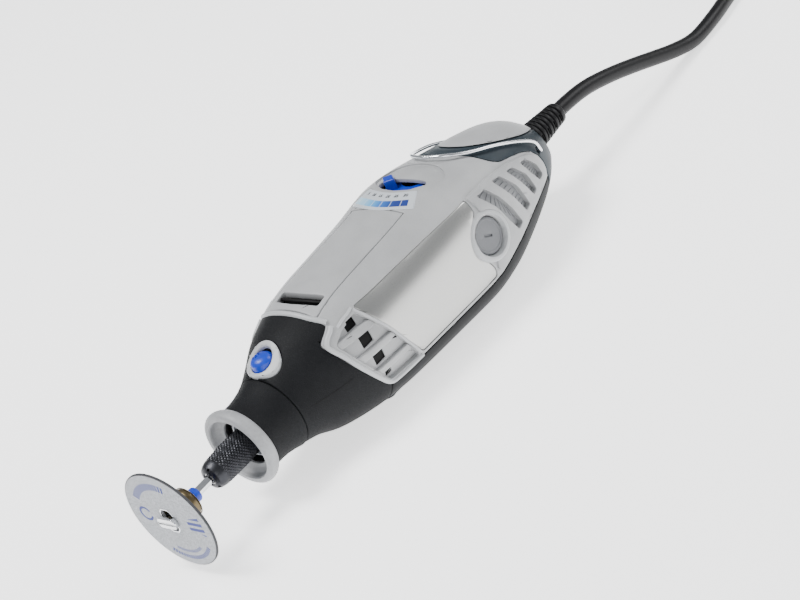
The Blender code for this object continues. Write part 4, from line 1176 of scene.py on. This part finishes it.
def cordRoute():
    floor = cordSet["radius"] + 0.4 - tool["axisHeight"]
    start = cordSet["height"]
    lead = [at(0, 205, start), at(0, 218, start), at(0, 231, start), at(0.1, 245, 0.8), at(0.3, 259, -2.8),
            at(0.6, 272.5, -7.3), at(1.0, 285.6, -12.1), at(1.4, 298, -16.5), at(1.6, 311, floor),
            at(0.6, 328, floor), at(-2.0, 344, floor), at(-3.0, 358, floor), at(0.4, 372, floor),
            at(6.2, 383.4, floor)]
    turn = math.radians(cordSet["plugTurn"])
    ahead = Vector((math.cos(turn), math.sin(turn), 0))
    top = cordSet["coilTop"]
    tail = coilPoint(205, cordSet["coilRadius"] - 3, top + 6.5) + ahead * 14 * mm
    rise = [coilPoint(122, 31.0, 18.4), coilPoint(138, 32.5, 21.2)]
    rise += [coilPoint(angle, cordSet["coilRadius"], top + cordSet["radius"]) for angle in (152, 166, 180)]
    rise += [tail - ahead * back * mm for back in (12, 6, 0.5)]
    return eased(lead + coilRoute() + rise, 4.0), tail, turn


def placedAt(home, turn):
    return Matrix.Translation(home) @ Matrix.Rotation(turn, 4, "Z")


def local(x, y, z):  # undoes the frame's own shift for a piece made at its origin
    return x, y + tool["middle"], z - tool["axisHeight"]


def plugPieces(tail, turn):
    outline = [(0, -5), (8, -6.5), (20, -13), (35, -13), (35, 13), (20, 13), (8, 6.5), (0, 5)]
    body = prism("plug", softened([(u, v + tool["middle"]) for u, v in outline], 3.0, 5),
            -6.5 - tool["axisHeight"], 6.5 - tool["axisHeight"], "top")
    for low, high in ((5.6, 7.5), (-7.5, -5.6)):  # finger hollow on each flat side
        dent = prism("dent", [(u, v + tool["middle"]) for u, v in oval((24, 0), 6.5, 8.5, 40)],
                low - tool["axisHeight"], high - tool["axisHeight"], "top")
        cut(body, dent)
    body.data.transform(placedAt(tail, turn))
    made = [finished(body, "plug_shell", sheath, replaced=["plug_body"], bevel=1.3, angle=30)]
    sleeve = turned("sleeve", [(0, -0.4), (4.6, -0.4), (4.9, 1.0), (4.9, 4), (0, 4)], sides=48)
    sleeve.data.transform(Matrix.Translation(-at(0, 0, 0) + Vector((0, -at(0, 0, 0).y * 0, 0))))
    bpy.data.objects.remove(sleeve)
    for number, side in enumerate((1, -1), 1):
        pin = turned("pin", [(0.002, 35.3), (2.0, 35.3), (2.0, 45.0), (1.88, 45.2), (1.88, 52.6), (1.5, 53.6),
                (0.8, 54.0), (0.002, 54.0)], "X", local(0, 0, 0), 32)
        pin.data.transform(placedAt(tail + Matrix.Rotation(turn, 3, "Z") @ Vector((0, side * 9.3 * mm, 0)),
                turn))
        made.append(finished(pin, "plug_pin_%d_skin" % number, chrome,
                replaced=["plug_pin_%d" % number]))
    return made


def cordTie():  # flat strap pulled round the turns
    places = []
    for k in range(72):
        turn = math.tau * k / 72
        way = Vector((math.cos(turn), math.sin(turn)))
        radius, height = max(cordSet["turns"], key=lambda spot: spot[0] * way.x + spot[1] * way.y)
        places.append((radius + 3.35 * way.x, max(height + 3.35 * way.y, 0.7)))
    tie = prism("tie", grown(places, 0.55), -3.0, 3.0, "end")
    cut(tie, prism("tieHole", places, -4.0, 4.0, "end"))
    # an end prism holds (x, height), so it is moved from the tool's axis to the coil and turned
    tie.data.transform(Matrix.Translation(Vector((0, tool["middle"] * mm, -tool["axisHeight"] * mm))))
    centre = coilPoint(0, 0, 0)
    tie.data.transform(placedAt(Vector((centre.x, centre.y, 0)), math.radians(cordSet["tieAngle"])))
    return finished(tie, "coil_tie", tieBlack, replaced=["cord_tie"], bevel=0.15)


def strainRelief():
    rings = [(3.25, 200.2), (8.4, 200.2), (8.4, 203.2), (5.9, 203.2), (5.9, 206.6)]
    start, end = 207.0, 224.6
    count = 8
    for k in range(count):
        place = start + (end - start) * k / count
        step = (end - start) / count
        radius = 6.0 - 1.6 * k / count
        rings += [(radius, place), (radius + 0.02, place + step * 0.55), (radius - 0.85, place + step * 0.66),
                (radius - 0.9, place + step * 0.92)]
    rings += [(4.5, end), (4.3, 226.4), (3.9, 227.0), (3.25, 227.0), (3.25, 200.2)]
    relief = turned("relief", rings, place=(0, 0, cordSet["height"]), sides=72, bevel=0.16, angle=30)
    for side in (0, 180):  # flexing slits on two sides
        for k in range(4):
            station = 209.6 + k * 4.4
            slit = prism("slit", [(station, -1.4), (station + 0.9, -1.4), (station + 0.9, 1.4),
                    (station, 1.4)], 3.6, 9.0)
            slit.data.transform(Matrix.Translation(at(0, tool["middle"], cordSet["height"]))
                    @ Matrix.Rotation(math.radians(side), 4, "Y") @ Matrix.Translation(-at(0, tool["middle"],
                    0)))
            cut(relief, slit)
    return finished(relief, "strain_relief_skin", sheath, replaced=["strain_relief"])


def makeCord():
    route, tail, turn = cordRoute()
    cord = tube("cord", [tuple(p) for p in route], cordSet["radius"], resolution=6)
    cord.data.materials.append(sheath)
    for spline in cord.data.splines:
        spline.use_smooth = True
    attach(cord, "housing")
    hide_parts("supply_cord", "cord_coil", "cord_tail")
    plugs = plugPieces(tail, turn)
    tie = cordTie()
    length = sum((b - a).length for a, b in zip(route, route[1:]))
    print("cord length %.3f m" % length)
    tuple(at(0, 206, cordSet["height"]))
    plugs + [tie]


def innerParts():
    wanted = ((steel, "armature_core armature_shaft brush_spring_left brush_spring_right front_bearing"),
            (steel, "lock_pin lock_spring rear_bearing stator_core"),
            (copper, "armature_winding_front armature_winding_rear field_coil_lower field_coil_upper"),
            (blackAndPaintedShade, "bearing_bracket cord_clamp fan switch_module"), (board, "speed_board"),
            (brass, "brush_holder_left brush_holder_right"), (carbon, "carbon_brush_left carbon_brush_right"),
            (bars, "commutator"))
    for look, names in wanted:
        for name in names.split():
            for holder in nodes[name].material_slots:
                holder.material = look


makeCord()
strainRelief()
print("cord, coil and plug made")
noseShell()
lockBezel()
lockButton()
noseParts()
print("nose made")
upperShell()
recessRibs()
outletShadeSheets()
rims()
topCover()
print("upper housing made")
lowerShell()
screwHeads()
tailShell()
sidePlates()
ladders()
brushCaps()
print("sides and tail made")
speedDial()
scaleLabel()
hangerWire()
knurledNut()
mandrel()
cuttingDisc()
innerParts()
for leftover in (plain, outer, hollow):
    bpy.data.objects.remove(leftover)
print("all pieces made")
